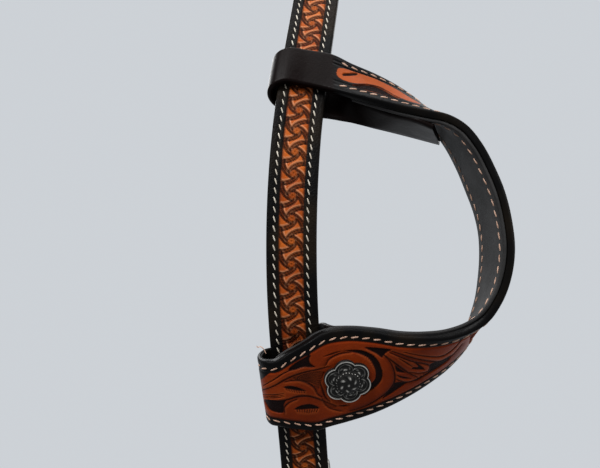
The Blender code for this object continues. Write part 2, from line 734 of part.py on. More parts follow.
def ribbon_rings(rows, depth, thickness_of, inset=0.0):
    """Closed sections of a ply below the ear's outer surface, with softened edges."""
    edges = [(place(*row[0:3]), place(*row[3:6])) for row in rows]
    rings = []
    for index, row in enumerate(rows):
        near, far = edges[index]
        before = edges[max(index - 1, 0)]
        after = edges[min(index + 1, len(rows) - 1)]
        width = far - near
        span = width.length
        normals = [
            (after[edge] - before[edge]).cross(width).normalized() for edge in (0, 1)]
        thickness = thickness_of(row)
        soft = min(EDGE_BEVEL, thickness * SOFT_SHARE)
        across_marks = (inset + soft, span / 2, span - inset - soft)
        outer = []
        inner = []
        for mark in across_marks:
            share = mark / span
            middle = [a + (b - a) * share for a, b in zip(row[0:3], row[3:6])]
            normal = (normals[0] * (1 - share) + normals[1] * share).normalized()
            surface = place(*middle)
            outer.append(surface - normal * depth)
            inner.append(surface - normal * (depth + thickness))
        ring = list(outer)
        for share, normal in ((1 - inset / span, normals[1]), (inset / span, normals[0])):
            middle = [a + (b - a) * share for a, b in zip(row[0:3], row[3:6])]
            surface = place(*middle)
            pair = [
                surface - normal * (depth + soft),
                surface - normal * (depth + thickness - soft)]
            if share > 0.5:
                ring += pair + list(reversed(inner))
            else:
                ring += list(reversed(pair))
        rings.append(ring)
    return rings


def ear_piece():
    """Tooled face with both wraps, and the lining inside the loop."""
    tan = material("tooled_tan", LEATHER_TAN, 0.42)
    grey = material("ear_lining", LINING_GREY, 0.75)
    start, loop, wide, end = ear_stations()
    pivot = ear_pivot()
    rows = smooth_stations(start + loop + wide + end, ROWS_PER_STATION)
    face = new_object(
        "ear_face", ribbon_rings(rows, 0.0, lambda row: row[6]), tan, False, pivot, RING_INNER)
    inner_rows = rows[(len(start) + LINING_FIRST) * ROWS_PER_STATION + 1:]
    inner_rows = inner_rows[:-len(end) * ROWS_PER_STATION]
    lining = new_object(
        "ear_lining",
        ribbon_rings(inner_rows, EAR_FACE_PLY + PLY_GAP, lambda row: EAR_LINING_PLY, LINING_INSET),
        grey, False, pivot, RING_INNER)
    centre, normal = concho_seat()
    rings = [
        round_ring(centre + normal * out, normal, POST_RADIUS + POST_HOLE_GAP, ROUND_SIDES)
        for out in (-EAR_STACK - EAR_TAIL_PLY - OVERRUN, OVERRUN)]
    cutter("ear_screw_hole", rings, [face, lining])
    stack = EAR_STACK + TAIL_CLEARANCE + EAR_TAIL_PLY
    concho_and_screw("ear", centre, normal, stack, pivot)


def ear_pivot():
    """Centre of the strap's bow, which the ear piece slides round."""
    middle = (BOW_START + BOW_END) / 2
    return centre_line(middle) - axes_at(middle)[2] * BOW_RADIUS


def concho_seat():
    """Point and outward direction of the ear's face under the concho."""
    near, far = EAR_SHARES[CONCHO_STATION]
    before = EAR_SHARES[CONCHO_STATION - 1]
    after = EAR_SHARES[CONCHO_STATION + 1]
    near_point = place(*ear_edge(near))
    far_point = place(*ear_edge(far))
    run = Vector()
    for edge in (0, 1):
        run += place(*ear_edge(after[edge])) - place(*ear_edge(before[edge]))
    middle = [(a + b) / 2 for a, b in zip(ear_edge(near), ear_edge(far))]
    return place(*middle), run.cross(far_point - near_point).normalized()


def lobe_radius(angle):
    """Outline of the concho: a ring of round lobes."""
    sector = math.tau / LOBES
    turn = (angle - LOBE_TURN + sector / 2) % sector - sector / 2
    centre = LOBE_CENTRE_SHARE * CONCHO_RADIUS
    lobe = LOBE_RADIUS_SHARE * CONCHO_RADIUS
    return centre * math.cos(turn) + math.sqrt(lobe ** 2 - (centre * math.sin(turn)) ** 2)


def concho_and_screw(prefix, seat, normal, stack, origin=None):
    """Flower concho with a bored post, and the screw that closes it from behind."""
    silver = material("old_silver", OLD_SILVER, 0.35, 1.0)
    side = normal.cross(Vector((0.0, 0.0, 1.0))).normalized()
    up = side.cross(normal)
    base = seat + normal * CONCHO_GAP
    turn = math.tau / CONCHO_SIDES
    post_end = -(CONCHO_GAP + stack)
    bore_end = -CONCHO_GAP

    def ring(radius_of, out):
        return [
            base + normal * out
            + (side * math.cos(turn * step) + up * math.sin(turn * step)) * radius_of(turn * step)
            for step in range(CONCHO_SIDES)]

    rings = []
    for reach, height in CONCHO_PROFILE_SHARES:
        level = height * (CONCHO_DOME if reach < LOBE_CENTRE_SHARE else CONCHO_RIM)
        rings.append(ring(
            lambda angle, reach=reach: lobe_radius(angle) * reach if reach > LOBE_CENTRE_SHARE
            else CONCHO_RADIUS * reach, level))
    rings.append(ring(lobe_radius, 0.0))
    rings.append(ring(lambda angle: POST_RADIUS, 0.0))
    rings.append(ring(lambda angle: POST_RADIUS, post_end))
    rings.append(ring(lambda angle: POST_BORE, post_end))
    rings.append(ring(lambda angle: POST_BORE, bore_end))
    new_object(f"{prefix}_concho", rings, silver, False, origin)
    back = -(CONCHO_GAP + stack + SCREW_SEAT_GAP)
    shape = [
        (SCREW_HEAD_RADIUS, back - SCREW_HEAD), (SCREW_HEAD_RADIUS, back),
        (SCREW_RADIUS, back), (SCREW_RADIUS, bore_end - SCREW_SEAT_GAP)]
    screw = [round_ring(base + normal * out, normal, radius, ROUND_SIDES) for radius, out in shape]
    new_object(f"{prefix}_screw", screw, silver, False, origin)


def bit_fastening(side_name, side):
    """Concho and screw that close the bit loop, and the hole they pass."""
    seat = place(0.0, BIT_CONCHO_AT, -CHEEK_GAP, side)
    _, _, normal = axes_at(BIT_CONCHO_AT)
    normal = Vector((normal.x, normal.y * side, normal.z))
    face = bpy.data.objects[f"{side_name}_cheek_face"]
    depth = CHEEK_PLY + PLY_GAP + CHEEK_PLY
    rings = [
        round_ring(seat + normal * out, normal, POST_RADIUS + POST_HOLE_GAP, ROUND_SIDES)
        for out in (-depth - OVERRUN, OVERRUN)]
    cutter(f"{side_name}_bit_screw_hole", rings, [face])
    concho_and_screw(f"{side_name}_bit", seat, normal, depth)


def build():
    """Make every piece of the headstall."""
    clear_scene()
    crown()
    ear_piece()
    for side_name, side in SIDES.items():
        cheek(side_name, side)
        buckle_frame(side_name, side)
        buckle_tongue(side_name, side)
        keeper(f"{side_name}_fixed_keeper", FIXED_KEEPER_DROP, side)
        slider = place(0.0, HEEL_BAR + SLIDING_KEEPER_DROP, 0.0, side)
        keeper(f"{side_name}_sliding_keeper", SLIDING_KEEPER_DROP, side, slider)
        bit_fastening(side_name, side)


build()
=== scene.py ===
"""Looks of the western one-ear headstall: tooled and antiqued leather, stitching, old silver."""
import math

import bmesh
import bpy
import numpy as np
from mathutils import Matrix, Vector


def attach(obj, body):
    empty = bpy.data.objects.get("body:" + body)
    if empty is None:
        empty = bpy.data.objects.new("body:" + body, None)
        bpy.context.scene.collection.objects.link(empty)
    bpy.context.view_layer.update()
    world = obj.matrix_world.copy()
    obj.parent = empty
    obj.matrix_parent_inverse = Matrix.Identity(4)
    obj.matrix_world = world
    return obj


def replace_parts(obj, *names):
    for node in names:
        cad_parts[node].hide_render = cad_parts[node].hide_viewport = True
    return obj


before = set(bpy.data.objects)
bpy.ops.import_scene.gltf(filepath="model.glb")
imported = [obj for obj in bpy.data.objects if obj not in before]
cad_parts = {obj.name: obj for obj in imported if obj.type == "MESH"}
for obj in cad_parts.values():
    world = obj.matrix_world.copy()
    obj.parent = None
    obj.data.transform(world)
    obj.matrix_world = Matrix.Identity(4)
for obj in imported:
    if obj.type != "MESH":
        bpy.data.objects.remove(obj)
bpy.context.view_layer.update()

# Path of the strap's inner face
POLL_RADIUS = 0.06
POLL_ANGLE = math.radians(64.0)
BOW_START = 0.092
BOW_RADIUS = 0.185
BOW_END = 0.244
JAW_RADIUS = 0.13
CHEEK_ANGLE = math.radians(90.0)
HALF_LENGTH = 0.535
SWEEP_START = 0.112
SWEEP_END = 0.208
SWEEP_TOP = math.radians(7.4)
SWEEP_LOW = math.radians(-4.0)
TURN_STEP = math.radians(5.0)
TABLE_STEP = 0.0001

# Strap stock, holes and ends
STRAP_HALF = 0.0095
LINING_PLY = 0.0019
STRAP_THICKNESS = 0.0048
CROWN_TIP = 0.425
POINT_LENGTH = 0.015
HOLE_FIRST = 0.2083
HOLE_PITCH = 0.03175
HOLE_COUNT = 7
HOLE_RADIUS = 0.0024
BUCKLED_HOLE = 4
TONGUE_SLOT = 0.01
POINT_SHARES = [(0.0, 1.0), (0.45, 0.8), (0.8, 0.45), (1.0, 0.14)]

# Ear piece
EAR_FACE_PLY = 0.0029
EAR_LINING_PLY = 0.0014
EAR_TAIL_PLY = 0.0019
PLY_GAP = 0.0003
EAR_REACH = 0.08
EAR_TOP = 0.0976
EAR_HEIGHT = 0.1456
EAR_WIDTH = 0.0265
BAND_WIDTH = 0.0153
LOOP_GAP = 0.001
LOOP_SIDE_GAP = 0.0021
WIDE_END_LIFT = 0.004
WIDE_END_SKEW = 0.0011
TAIL_CLEARANCE = 0.0006
CONCHO_RADIUS = 0.0092
CONCHO_GAP = 0.0008
CONCHO_SCREW_GAP = 0.0008
POST_RADIUS = 0.0024
POST_BORE = 0.0015
POST_HOLE_GAP = 0.0004
SCREW_RADIUS = 0.0012
SCREW_HEAD_RADIUS = 0.0029
SCREW_HEAD = 0.0011
LOBES = 6
LOBE_CENTRE_SHARE = 0.53
LOBE_RADIUS_SHARE = 0.47

# Cheeks
CHEEK_PLY = 0.0024
CHEEK_GAP = 0.0004
FOLD_TAIL = 0.038
FOLD_EASE_SHARES = [(0.1, 0.97), (0.25, 0.62), (0.4, 0.16), (0.52, 0.0)]
BIT_LOOP_RADIUS = 0.0065
BIT_LOOP_NECK = 0.018
BIT_TAIL = 0.028
BIT_CONCHO_RISE = 0.015
BUCKLE_WIRE = 0.0016
WIRE_GAP = 0.0003
TONGUE_WIRE = 0.0012
TONGUE_GAP = 0.0006
TONGUE_LEAD = 0.0034
OVERRUN = 0.004
HEEL_BAR = HOLE_FIRST + BUCKLED_HOLE * HOLE_PITCH + TONGUE_LEAD
CHEEK_FACE_MID = -CHEEK_GAP - CHEEK_PLY / 2
CHEEK_BACK_MID = CHEEK_FACE_MID - CHEEK_PLY - PLY_GAP
FOLD_RADIUS = BUCKLE_WIRE + WIRE_GAP + CHEEK_PLY / 2
HEEL_OUT = CHEEK_FACE_MID - FOLD_RADIUS
BIT_LOOP_MID = BIT_LOOP_RADIUS + CHEEK_PLY / 2
BIT_LOOP_AT = HALF_LENGTH - BIT_LOOP_MID - CHEEK_PLY / 2
BIT_LOOP_OUT = (CHEEK_FACE_MID + CHEEK_BACK_MID) / 2
BIT_TAIL_END = BIT_LOOP_AT - BIT_LOOP_NECK - BIT_TAIL
BIT_CONCHO_AT = BIT_LOOP_AT - BIT_LOOP_NECK - BIT_CONCHO_RISE

RIGHT = 1
LEFT = -1
SIDES = {"right": RIGHT, "left": LEFT}

# The photograph's camera, in photo pixels and metres
PHOTO_SIZE = (600, 468)
FOCAL_PIXELS = 615.0
VIEW_CENTRE = (300.0, 234.0)
CAMERA_AT = (-0.01104, -0.31808, -0.13065)

# Ear piece outline: for the near and the far edge, reach past the strap, distance down the ear
# and offset from the strap's middle
EAR_SHARES = [
    ((0.007, 0.115, 0.264), (0.007, 0.004, 0.23)),
    ((0.142, 0.132, 0.34), (0.128, 0.018, 0.158)),
    ((0.277, 0.147, 0.408), (0.27, 0.025, 0.023)),
    ((0.411, 0.162, 0.468), (0.418, 0.037, -0.147)),
    ((0.539, 0.173, 0.509), (0.553, 0.063, -0.298)),
    ((0.652, 0.18, 0.513), (0.667, 0.106, -0.411)),
    ((0.745, 0.203, 0.513), (0.759, 0.166, -0.475)),
    ((0.823, 0.247, 0.513), (0.834, 0.242, -0.487)),
    ((0.892, 0.309, 0.513), (0.898, 0.329, -0.487)),
    ((0.949, 0.379, 0.513), (0.946, 0.405, -0.487)),
    ((0.984, 0.453, 0.513), (0.974, 0.48, -0.487)),
    ((0.999, 0.532, 0.513), (0.98, 0.562, -0.487)),
    ((0.98, 0.607, 0.513), (0.97, 0.645, -0.487)),
    ((0.932, 0.672, 0.513), (0.949, 0.725, -0.487)),
    ((0.858, 0.723, 0.513), (0.906, 0.796, -0.468)),
    ((0.766, 0.749, 0.513), (0.837, 0.851, -0.377)),
    ((0.66, 0.76, 0.513), (0.723, 0.894, -0.204)),
    ((0.539, 0.759, 0.498), (0.574, 0.927, -0.023)),
    ((0.404, 0.751, 0.468), (0.418, 0.956, 0.098)),
    ((0.27, 0.738, 0.395), (0.277, 0.977, 0.17)),
    ((0.13, 0.73, 0.377), (0.13, 0.992, 0.219)),
    ((0.021, 0.735, 0.4), (0.021, 0.999, 0.264)),
]
CONCHO_STATION = 20
LINING_FIRST = 1
TOP_TAIL_SHARES = [
    ((0.021, 0.162, -0.189), (0.021, 0.05, -0.226)),
    ((0.121, 0.157, -0.264), (0.125, 0.076, -0.14)),
    ((0.222, 0.152, -0.294), (0.235, 0.119, 0.05)),
    ((0.333, 0.151, -0.336), (0.355, 0.157, 0.235)),
    ((0.455, 0.153, -0.4), (0.475, 0.18, 0.385)),
    ((0.685, 0.166, -0.478), (0.58, 0.203, 0.44)),
]
LOWER_TAIL_SHARES = [
    (0.01, 0.738, 0.985, 0.00),
    (0.034, 0.734, 0.98, 0.2),
    (0.058, 0.732, 0.975, 0.6),
    (0.08, 0.731, 0.97, 0.88),
    (0.105, 0.73, 0.965, 0.98),
    (0.2, 0.735, 0.95, 1.00),
    (0.275, 0.76, 0.925, 1.00),
]
WIDE_END_SHARES = [(0.7, 0.746, 1.002), (-0.1, 0.771, 0.996), (-0.86, 0.793, 0.984)]
WIDE_BACK_SHARES = [(-0.86, 0.797, 0.984), (0.3, 0.762, 0.985)]
BAND_SHARES = (-0.86, 0.1)
BAND_DROP_SHARE = 0.105
BACK_DROP_SHARE = 0.146
BACK_SLOPE_SHARE = 0.016
FOLD_STEPS = 5
EAR_STACK = EAR_FACE_PLY + PLY_GAP + EAR_LINING_PLY + TAIL_CLEARANCE + EAR_TAIL_PLY
CHEEK_STACK = 2 * CHEEK_PLY + PLY_GAP
TAIL_OUT = -LOOP_GAP - EAR_TAIL_PLY

# Fineness of the meshes, and the small chamfers and roundings of the plies
ALONG = np.arange(0.0, HALF_LENGTH + TABLE_STEP, TABLE_STEP)
ROW_STEP = 0.0004
PLY_CHAMFER = 0.0003
PLY_LIFT = 0.00005
ROUND_STEPS = 5
POINT_STEPS = 30
BACK_ROW_SKIP = 3
SMOOTH_REACH = 4
CROWN_COLUMNS = 52
CROWN_ROUNDING = 0.0009
BACK_PLY_COLUMNS = 28
CHEEK_COLUMNS = 46
SOFT_ROUNDING = 0.0007
FACE_SLACK = 0.0001
FOLD_ARC_STEPS = 17
BIT_ARC_STEPS = 31
LINING_BEVEL = 0.0003
KEEPER_BEVEL = 0.0005
EDGE_DROP = 0.0004
EAR_GRID = 0.00029
EAR_ROUNDING = 0.0009
EAR_COLUMNS = 146
BACK_COLUMNS = 9
LINING_LIFT = 0.0001
HOLE_SIDES = 24
CONCHO_SIDES = 168
SCREW_SIDES = 72


def strap_tables():
    """Angles, slopes and places of the strap's inner face at every table step."""
    poll_end = POLL_RADIUS * POLL_ANGLE
    bow_angle = POLL_ANGLE + (BOW_END - BOW_START) / BOW_RADIUS
    jaw_end = BOW_END + JAW_RADIUS * (bow_angle - CHEEK_ANGLE)
    angles = np.interp(ALONG, [0.0, poll_end, BOW_START, BOW_END, jaw_end],
                       [0.0, POLL_ANGLE, POLL_ANGLE, bow_angle, CHEEK_ANGLE])
    top, low = math.tan(SWEEP_TOP), math.tan(SWEEP_LOW)
    slopes = np.interp(ALONG, [0.0, poll_end, SWEEP_START, SWEEP_END], [0.0, top, top, low])
    lift = POLL_RADIUS * (1 - math.cos(TURN_STEP / 2))

    def summed(values):
        return np.concatenate([[0.0], np.cumsum((values[1:] + values[:-1]) / 2 * TABLE_STEP)])

    return angles, slopes, (-summed(slopes), -summed(np.cos(angles)), lift - summed(np.sin(angles)))


ANGLES, SLOPES, PLACES = strap_tables()


def unit(vectors):
    """Vectors scaled to length one."""
    return vectors / np.linalg.norm(vectors, axis=-1, keepdims=True)


def ramp(values, start, end):
    """Smooth step from 0 at start to 1 at end."""
    share = np.clip((values - start) / (end - start), 0.0, 1.0)
    return share * share * (3 - 2 * share)


def bell(values, centre, width):
    """1 at the centre, falling off smoothly over a width."""
    return np.exp(-((values - centre) / width) ** 2)


def run_along(points):
    """Distance run along a line of points."""
    return np.concatenate([[0.0], np.cumsum(np.linalg.norm(np.diff(points, axis=0), axis=1))])


def read_at(marks, run, table):
    """The columns of a table read at marks of its run."""
    return np.stack([np.interp(marks, run, column) for column in table.T], -1)


def circle_angles(count, shift=0.0):
    """Angles evenly spaced round a circle."""
    return (np.arange(count) + shift) * math.tau / count


def axes_at(along):
    """Across, down and outward directions of the strap on the right side."""
    angle, slope = (np.interp(along, ALONG, table) for table in (ANGLES, SLOPES))
    normal = np.stack([np.zeros_like(angle), -np.sin(angle), np.cos(angle)], -1)
    down = unit(np.stack([-slope, -np.cos(angle), -np.sin(angle)], -1))
    return np.cross(normal, down), down, normal


def place(across, along, out, side=RIGHT):
    """World points of strap coordinates; a negative distance along is the other side."""
    across, along, out = np.broadcast_arrays(*map(np.asarray, (across, along, out)))
    across_axis, _, normal = axes_at(abs(along))
    centre = np.stack([np.interp(abs(along), ALONG, table) for table in PLACES], -1)
    points = centre + across_axis * across[..., None] + normal * out[..., None]
    points[..., 1] *= np.where(along < 0, -side, side)
    return points


def smooth_rows(stations, spacing):
    """Rows along a smooth curve through stations, about a spacing apart, and their counts."""
    stations = np.array(stations, float)
    last = len(stations) - 1
    rows = []
    for index in range(last):
        before, first = stations[max(index - 1, 0)], stations[index]
        second, after = stations[index + 1], stations[min(index + 2, last)]
        spans = [np.linalg.norm(b - a) for a, b in ((before, first), (first, second), (second, after))]
        middle = (second - first) / spans[1]
        left = (first - before) / spans[0] if spans[0] else middle
        right = (after - second) / spans[2] if spans[2] else middle
        tangent = (left * spans[1] + middle * spans[0]) / (spans[0] + spans[1]) * spans[1]
        tangent_end = (right * spans[1] + middle * spans[2]) / (spans[1] + spans[2]) * spans[1]
        count = max(1, math.ceil(spans[1] / math.sqrt(2) / spacing))
        share = (np.arange(count) / count)[:, None]
        cube, square = share ** 3, share ** 2
        rows.append(
            first * (2 * cube - 3 * square + 1) + tangent * (cube - 2 * square + share)
            + second * (3 * square - 2 * cube) + tangent_end * (cube - square))
    rows.append(stations[last:])
    return np.concatenate(rows), [len(part) for part in rows]


def ear_edge(shares):
    """Strap coordinates of an edge point of the ear piece, from its shares."""
    reach, drop, offset = shares
    return (STRAP_HALF + reach * (EAR_REACH - STRAP_HALF), EAR_TOP + drop * EAR_HEIGHT,
            STRAP_THICKNESS / 2 + offset * EAR_WIDTH)


def edge_pair(shares):
    """Strap coordinates of a station's near and far edge."""
    return *ear_edge(shares[0]), *ear_edge(shares[1])


def fold_stations(front, back, near_edge, far_edge):
    """Half turn of the ear piece round the strap's left edge, between two stations."""
    rows = []
    for step in range(1, FOLD_STEPS):
        angle = math.pi * step / FOLD_STEPS
        row = []
        for first, edge in ((0, near_edge), (3, far_edge)):
            start, end = front[first:first + 3], back[first:first + 3]
            middle = (start[2] + end[2]) / 2
            row += [start[0] + (edge - start[0]) * math.sin(angle),
                    start[1] + (end[1] - start[1]) * step / FOLD_STEPS,
                    middle + (start[2] - middle) * math.cos(angle)]
        rows.append((*row, EAR_TAIL_PLY if step > 1 else (EAR_TAIL_PLY + EAR_FACE_PLY) / 2))
    return rows


def front_at(across):
    """Both edges of the ear's outer face right of the strap, at a distance across."""
    rows = [edge_pair(shares) for shares in EAR_SHARES[CONCHO_STATION - 3:]]
    for first, second in zip(rows, rows[1:]):
        if second[0] <= across <= first[0]:
            share = (across - first[0]) / (second[0] - first[0])
            return [a + (b - a) * share for a, b in zip(first, second)]
    return rows[-1]


def lower_tail_station(reach, near, far, join):
    """A station of the lower tail, which closes on the lining under the concho."""
    across, near_along, _ = ear_edge((reach, near, 0.0))
    far_along = ear_edge((reach, far, 0.0))[1]
    front = front_at(across)
    row = []
    for along in (near_along, far_along):
        level = front[2] + (along - front[1]) / (front[4] - front[1]) * (front[5] - front[2])
        row += [across, along, TAIL_OUT + join * (level - EAR_STACK - TAIL_OUT)]
    return (*row, EAR_TAIL_PLY)


def band_station(share, drop, out, ply):
    """A station of the upper wrap, flat on the strap."""
    across, low = share * STRAP_HALF, EAR_TOP + drop * EAR_HEIGHT
    return across, low, out, across, low - BAND_WIDTH, out, ply


def wide_station(shares, near_out, far_out, ply):
    """A station of the wide end, which wraps the strap below."""
    share, near, far = shares
    across = share * STRAP_HALF
    return across, EAR_TOP + near * EAR_HEIGHT, near_out, across, EAR_TOP + far * EAR_HEIGHT, far_out, ply


def ear_stations():
    """Stations of the ear face: near edge, far edge and thickness, tail end to tail end."""
    band_out = STRAP_THICKNESS + LOOP_GAP + EAR_FACE_PLY
    wide_out = band_out + PLY_GAP + EAR_LINING_PLY
    top_tail = [(*edge_pair(shares), EAR_TAIL_PLY) for shares in reversed(TOP_TAIL_SHARES)]
    for step, share in enumerate(reversed(BAND_SHARES)):
        drop = BACK_DROP_SHARE + (1 - step) * BACK_SLOPE_SHARE
        top_tail.append(band_station(share, drop, TAIL_OUT, EAR_TAIL_PLY))
    band = [band_station(share, BAND_DROP_SHARE, band_out, EAR_FACE_PLY) for share in BAND_SHARES]
    edge = -STRAP_HALF - LOOP_SIDE_GAP - EAR_TAIL_PLY
    top_fold = fold_stations(band[0], top_tail[-1], edge, edge)[::-1]
    loop = [(*edge_pair(shares), EAR_FACE_PLY) for shares in EAR_SHARES]
    wide = [wide_station(shares, wide_out + WIDE_END_LIFT, wide_out, EAR_FACE_PLY)
            for shares in WIDE_END_SHARES]
    tail = [wide_station(shares, TAIL_OUT, TAIL_OUT, EAR_TAIL_PLY) for shares in WIDE_BACK_SHARES]
    tail += [lower_tail_station(*shares) for shares in LOWER_TAIL_SHARES]
    fold = fold_stations(wide[-1], tail[0], edge - WIDE_END_SKEW, edge)
    return top_tail + top_fold + band, loop, wide, fold + tail


def to_photo(points):
    """Photo pixels at which the photograph's camera sees points."""
    depth = points[..., 1] - CAMERA_AT[1]
    across = VIEW_CENTRE[0] + FOCAL_PIXELS * (points[..., 0] - CAMERA_AT[0]) / depth
    down = VIEW_CENTRE[1] - FOCAL_PIXELS * (points[..., 2] - CAMERA_AT[2]) / depth
    return np.stack([across, down], -1)


def curve_points(points, samples=6, closed=False):
    """Points of a smooth curve through a few points."""
    points = np.array(points, float)
    last = len(points) - 1 + closed
    order = np.arange(-1, last + 2)
    order = order % len(points) if closed else np.clip(order, 0, len(points) - 1)
    share = (np.arange(samples) / samples)[:, None]
    made = []
    for index in range(last):
        before, first, second, after = points[order[index:index + 4]]
        made.append(0.5 * (
            2 * first + (second - before) * share
            + (2 * before - 5 * first + 4 * second - after) * share ** 2
            + (3 * first - before - 3 * second + after) * share ** 3))
    made.append(points[order[last + 1]][None])
    return np.concatenate(made)


def near_curve(places, curve):
    """Distance of places from a curve, the share along it and the signed side."""
    best = np.full(len(places), np.inf)
    share, side = np.zeros((2, len(places)))
    total = len(curve) - 1
    for index in range(total):
        start, run = curve[index], curve[index + 1] - curve[index]
        if not run.any():
            continue
        offset = places - start
        part = np.clip(offset @ run / (run @ run), 0.0, 1.0)
        gap = offset - part[:, None] * run
        away = np.hypot(gap[:, 0], gap[:, 1])
        closer = away < best
        best[closer] = away[closer]
        share[closer] = (index + part[closer]) / total
        side[closer] = np.sign(run[0] * offset[closer, 1] - run[1] * offset[closer, 0])
    return best, share, side


def inside(places, outline):
    """Whether places lie inside a closed outline."""
    found = np.zeros(len(places), bool)
    for first, second in zip(outline, np.roll(outline, -1, axis=0)):
        crosses = (first[1] > places[:, 1]) != (second[1] > places[:, 1])
        rise = second[1] - first[1] or 1.0
        at = first[0] + (places[:, 1] - first[1]) * (second[0] - first[0]) / rise
        found ^= crosses & (places[:, 0] < at)
    return found


def evenly(points, count):
    """A smooth curve through a few points, as points at even spacing."""
    curve = curve_points(points)
    run = run_along(curve)
    return read_at(np.linspace(0.0, run[-1], count), run, curve)


# Carving tools: depths in metres, widths and reaches in photo pixels, the rest in shares
PIXEL = 0.00041
CUT_DEPTH = 0.00034
GROUND_DEPTH = 0.00042
STROKE = 1.35
BEVEL_REACH = 1.7
LIP_REACH = 0.8
HATCH_WIDTH = 0.46
COMB_WIDTH = 0.38
HATCH_MARKS = 9
GROUND_EDGE = (-0.35, 0.75)
# Bevelled sides of cuts sink and get painted shade; the other lip gets a painted highlight
SLOPE_DEPTH = 0.6
SLOPE_SHADE = 0.78
LIP_HIGHLIGHT = 0.16
TAPERED = (0.35, 1.0, 0.35)
COMBED = (1.0, 0.8, 0.3)
EVEN = (1.0, 1.0, 1.0)


class Carving:
    """Relief and masks of carving, stroke by stroke, on places in pixels: dark for antique and painted
    shade, pale for painted highlight.
    """

    def __init__(self, places):
        self.places = places.reshape(-1, 2)
        self.relief, self.dark, self.pale = np.zeros((3, len(self.places)))

    def layers(self, shape):
        return [layer.reshape(shape) for layer in (self.relief, self.dark, self.pale)]

    def near(self, curve, reach):
        low, high = curve.min(axis=0) - reach, curve.max(axis=0) + reach
        chosen = np.flatnonzero(((self.places > low) & (self.places < high)).all(axis=1))
        return chosen, *near_curve(self.places[chosen], curve)

    def sink(self, chosen, depth, shade):
        self.relief[chosen] = np.minimum(self.relief[chosen], -depth)
        self.dark[chosen] = np.maximum(self.dark[chosen], shade)

    def cut(self, points, width, bevel=0, ends=TAPERED):
        """A knife cut, of a width that the ends scale, with one side bevelled down under painted shade
        and a painted highlight on the other lip.
        """
        chosen, away, share, side = self.near(curve_points(points), width + BEVEL_REACH * 3)
        half = STROKE * width * np.interp(share, (0.0, 0.5, 1.0), ends)
        groove = bell(away, 0.0, half)
        # Painted shade fading down the bevelled side, painted highlight along the other lip
        slope = np.exp(-away / BEVEL_REACH) * (side * bevel > 0)
        lip = bell(away - half, LIP_REACH, LIP_REACH) * (side * bevel <= 0)
        self.sink(chosen, CUT_DEPTH * np.maximum(groove, slope * SLOPE_DEPTH),
                  np.maximum(groove, slope * SLOPE_SHADE))
        self.pale[chosen] = np.maximum(self.pale[chosen], lip * LIP_HIGHLIGHT * (1 - groove))

    def fill(self, points, strength=1.0):
        """Background matted down inside an outline."""
        outline = curve_points(points, 4, True)
        chosen, away, _, _ = self.near(np.concatenate([outline, outline[:1]]), BEVEL_REACH)
        signed = np.where(inside(self.places[chosen], outline), away, -away)
        level = ramp(signed, *GROUND_EDGE)
        self.sink(chosen, GROUND_DEPTH * level * strength, strength * level)

    def hatch(self, first, second, count):
        """Fine lines between two curves that run side by side."""
        first, second = evenly(first, HATCH_MARKS), evenly(second, HATCH_MARKS)
        for share in (np.arange(count) + 0.5) / count:
            self.cut(first * (1 - share) + second * share, HATCH_WIDTH)

    def comb(self, first, second, count):
        """Short strokes from one curve to the other."""
        for start, end in zip(evenly(first, count), evenly(second, count)):
            self.cut([start, end], COMB_WIDTH, ends=COMBED)


def new_mesh(name, points, faces, look=None, smooth=True):
    """An object from points and faces."""
    data = bpy.data.meshes.new(name)
    data.from_pydata(np.asarray(points).reshape(-1, 3).tolist(), [], faces)
    data.validate()
    if smooth:
        data.shade_smooth()
    if look:
        data.materials.append(look)
    return new_object(name, data)


def new_object(name, data):
    """An object of some data in the scene."""
    made = bpy.data.objects.new(name, data)
    bpy.context.scene.collection.objects.link(made)
    return made


def settle(made):
    """Apply an object's modifiers to its mesh."""
    bpy.context.view_layer.update()
    settled = bpy.data.meshes.new_from_object(
        made.evaluated_get(bpy.context.evaluated_depsgraph_get()))
    made.modifiers.clear()
    made.data = settled


def ring_faces(rows, columns, capped=True):
    """Faces of a lofted tube of closed rings."""
    index = np.arange(rows * columns).reshape(rows, columns)
    first, second = index[:-1], index[1:]
    quads = np.stack([first, np.roll(first, -1, axis=1), np.roll(second, -1, axis=1), second], -1)
    caps = [index[0, ::-1].tolist(), index[-1].tolist()] if capped else []
    return quads.reshape(-1, 4).tolist() + caps


def paint(made, layers):
    """Store masks on a mesh's points for its material: black, dark, pale and plain; on leather, dark is
    antique and painted shade, pale painted highlight.
    """
    values = np.zeros((len(made.data.vertices), 4), np.float32)
    for channel, layer in enumerate(layers):
        values[:, channel] = np.asarray(layer).reshape(-1)
    attribute = made.data.attributes.new("tooling", "FLOAT_COLOR", "POINT")
    attribute.data.foreach_set("color", values.reshape(-1))


# Profile of one stitch: shares of its half length and of its half width
GRAIN_PROFILE = [(-1.0, 0.0), (-0.94, 0.42), (-0.7, 0.82), (0.0, 1.0), (0.7, 0.82), (0.94, 0.42),
                 (1.0, 0.0)]
GRAIN_SIDES = 8


def grains(name, centres, runs, normals, size, look):
    """Many small rounded threads in one mesh: length, width and height in size."""
    template = np.array([
        (mark, reach * math.cos(angle), reach * math.sin(angle))
        for mark, reach in GRAIN_PROFILE for angle in circle_angles(GRAIN_SIDES)]) * np.array(size) / 2
    across = unit(np.cross(normals, runs))
    points = centres[:, None]
    for axis, direction in enumerate((runs, across, normals)):
        points = points + template[None, :, axis:axis + 1] * direction[:, None]
    single = np.array(ring_faces(len(GRAIN_PROFILE), GRAIN_SIDES, capped=False))
    faces = single[None] + np.arange(len(centres))[:, None, None] * len(template)
    return new_mesh(name, points, faces.reshape(-1, 4).tolist(), look)


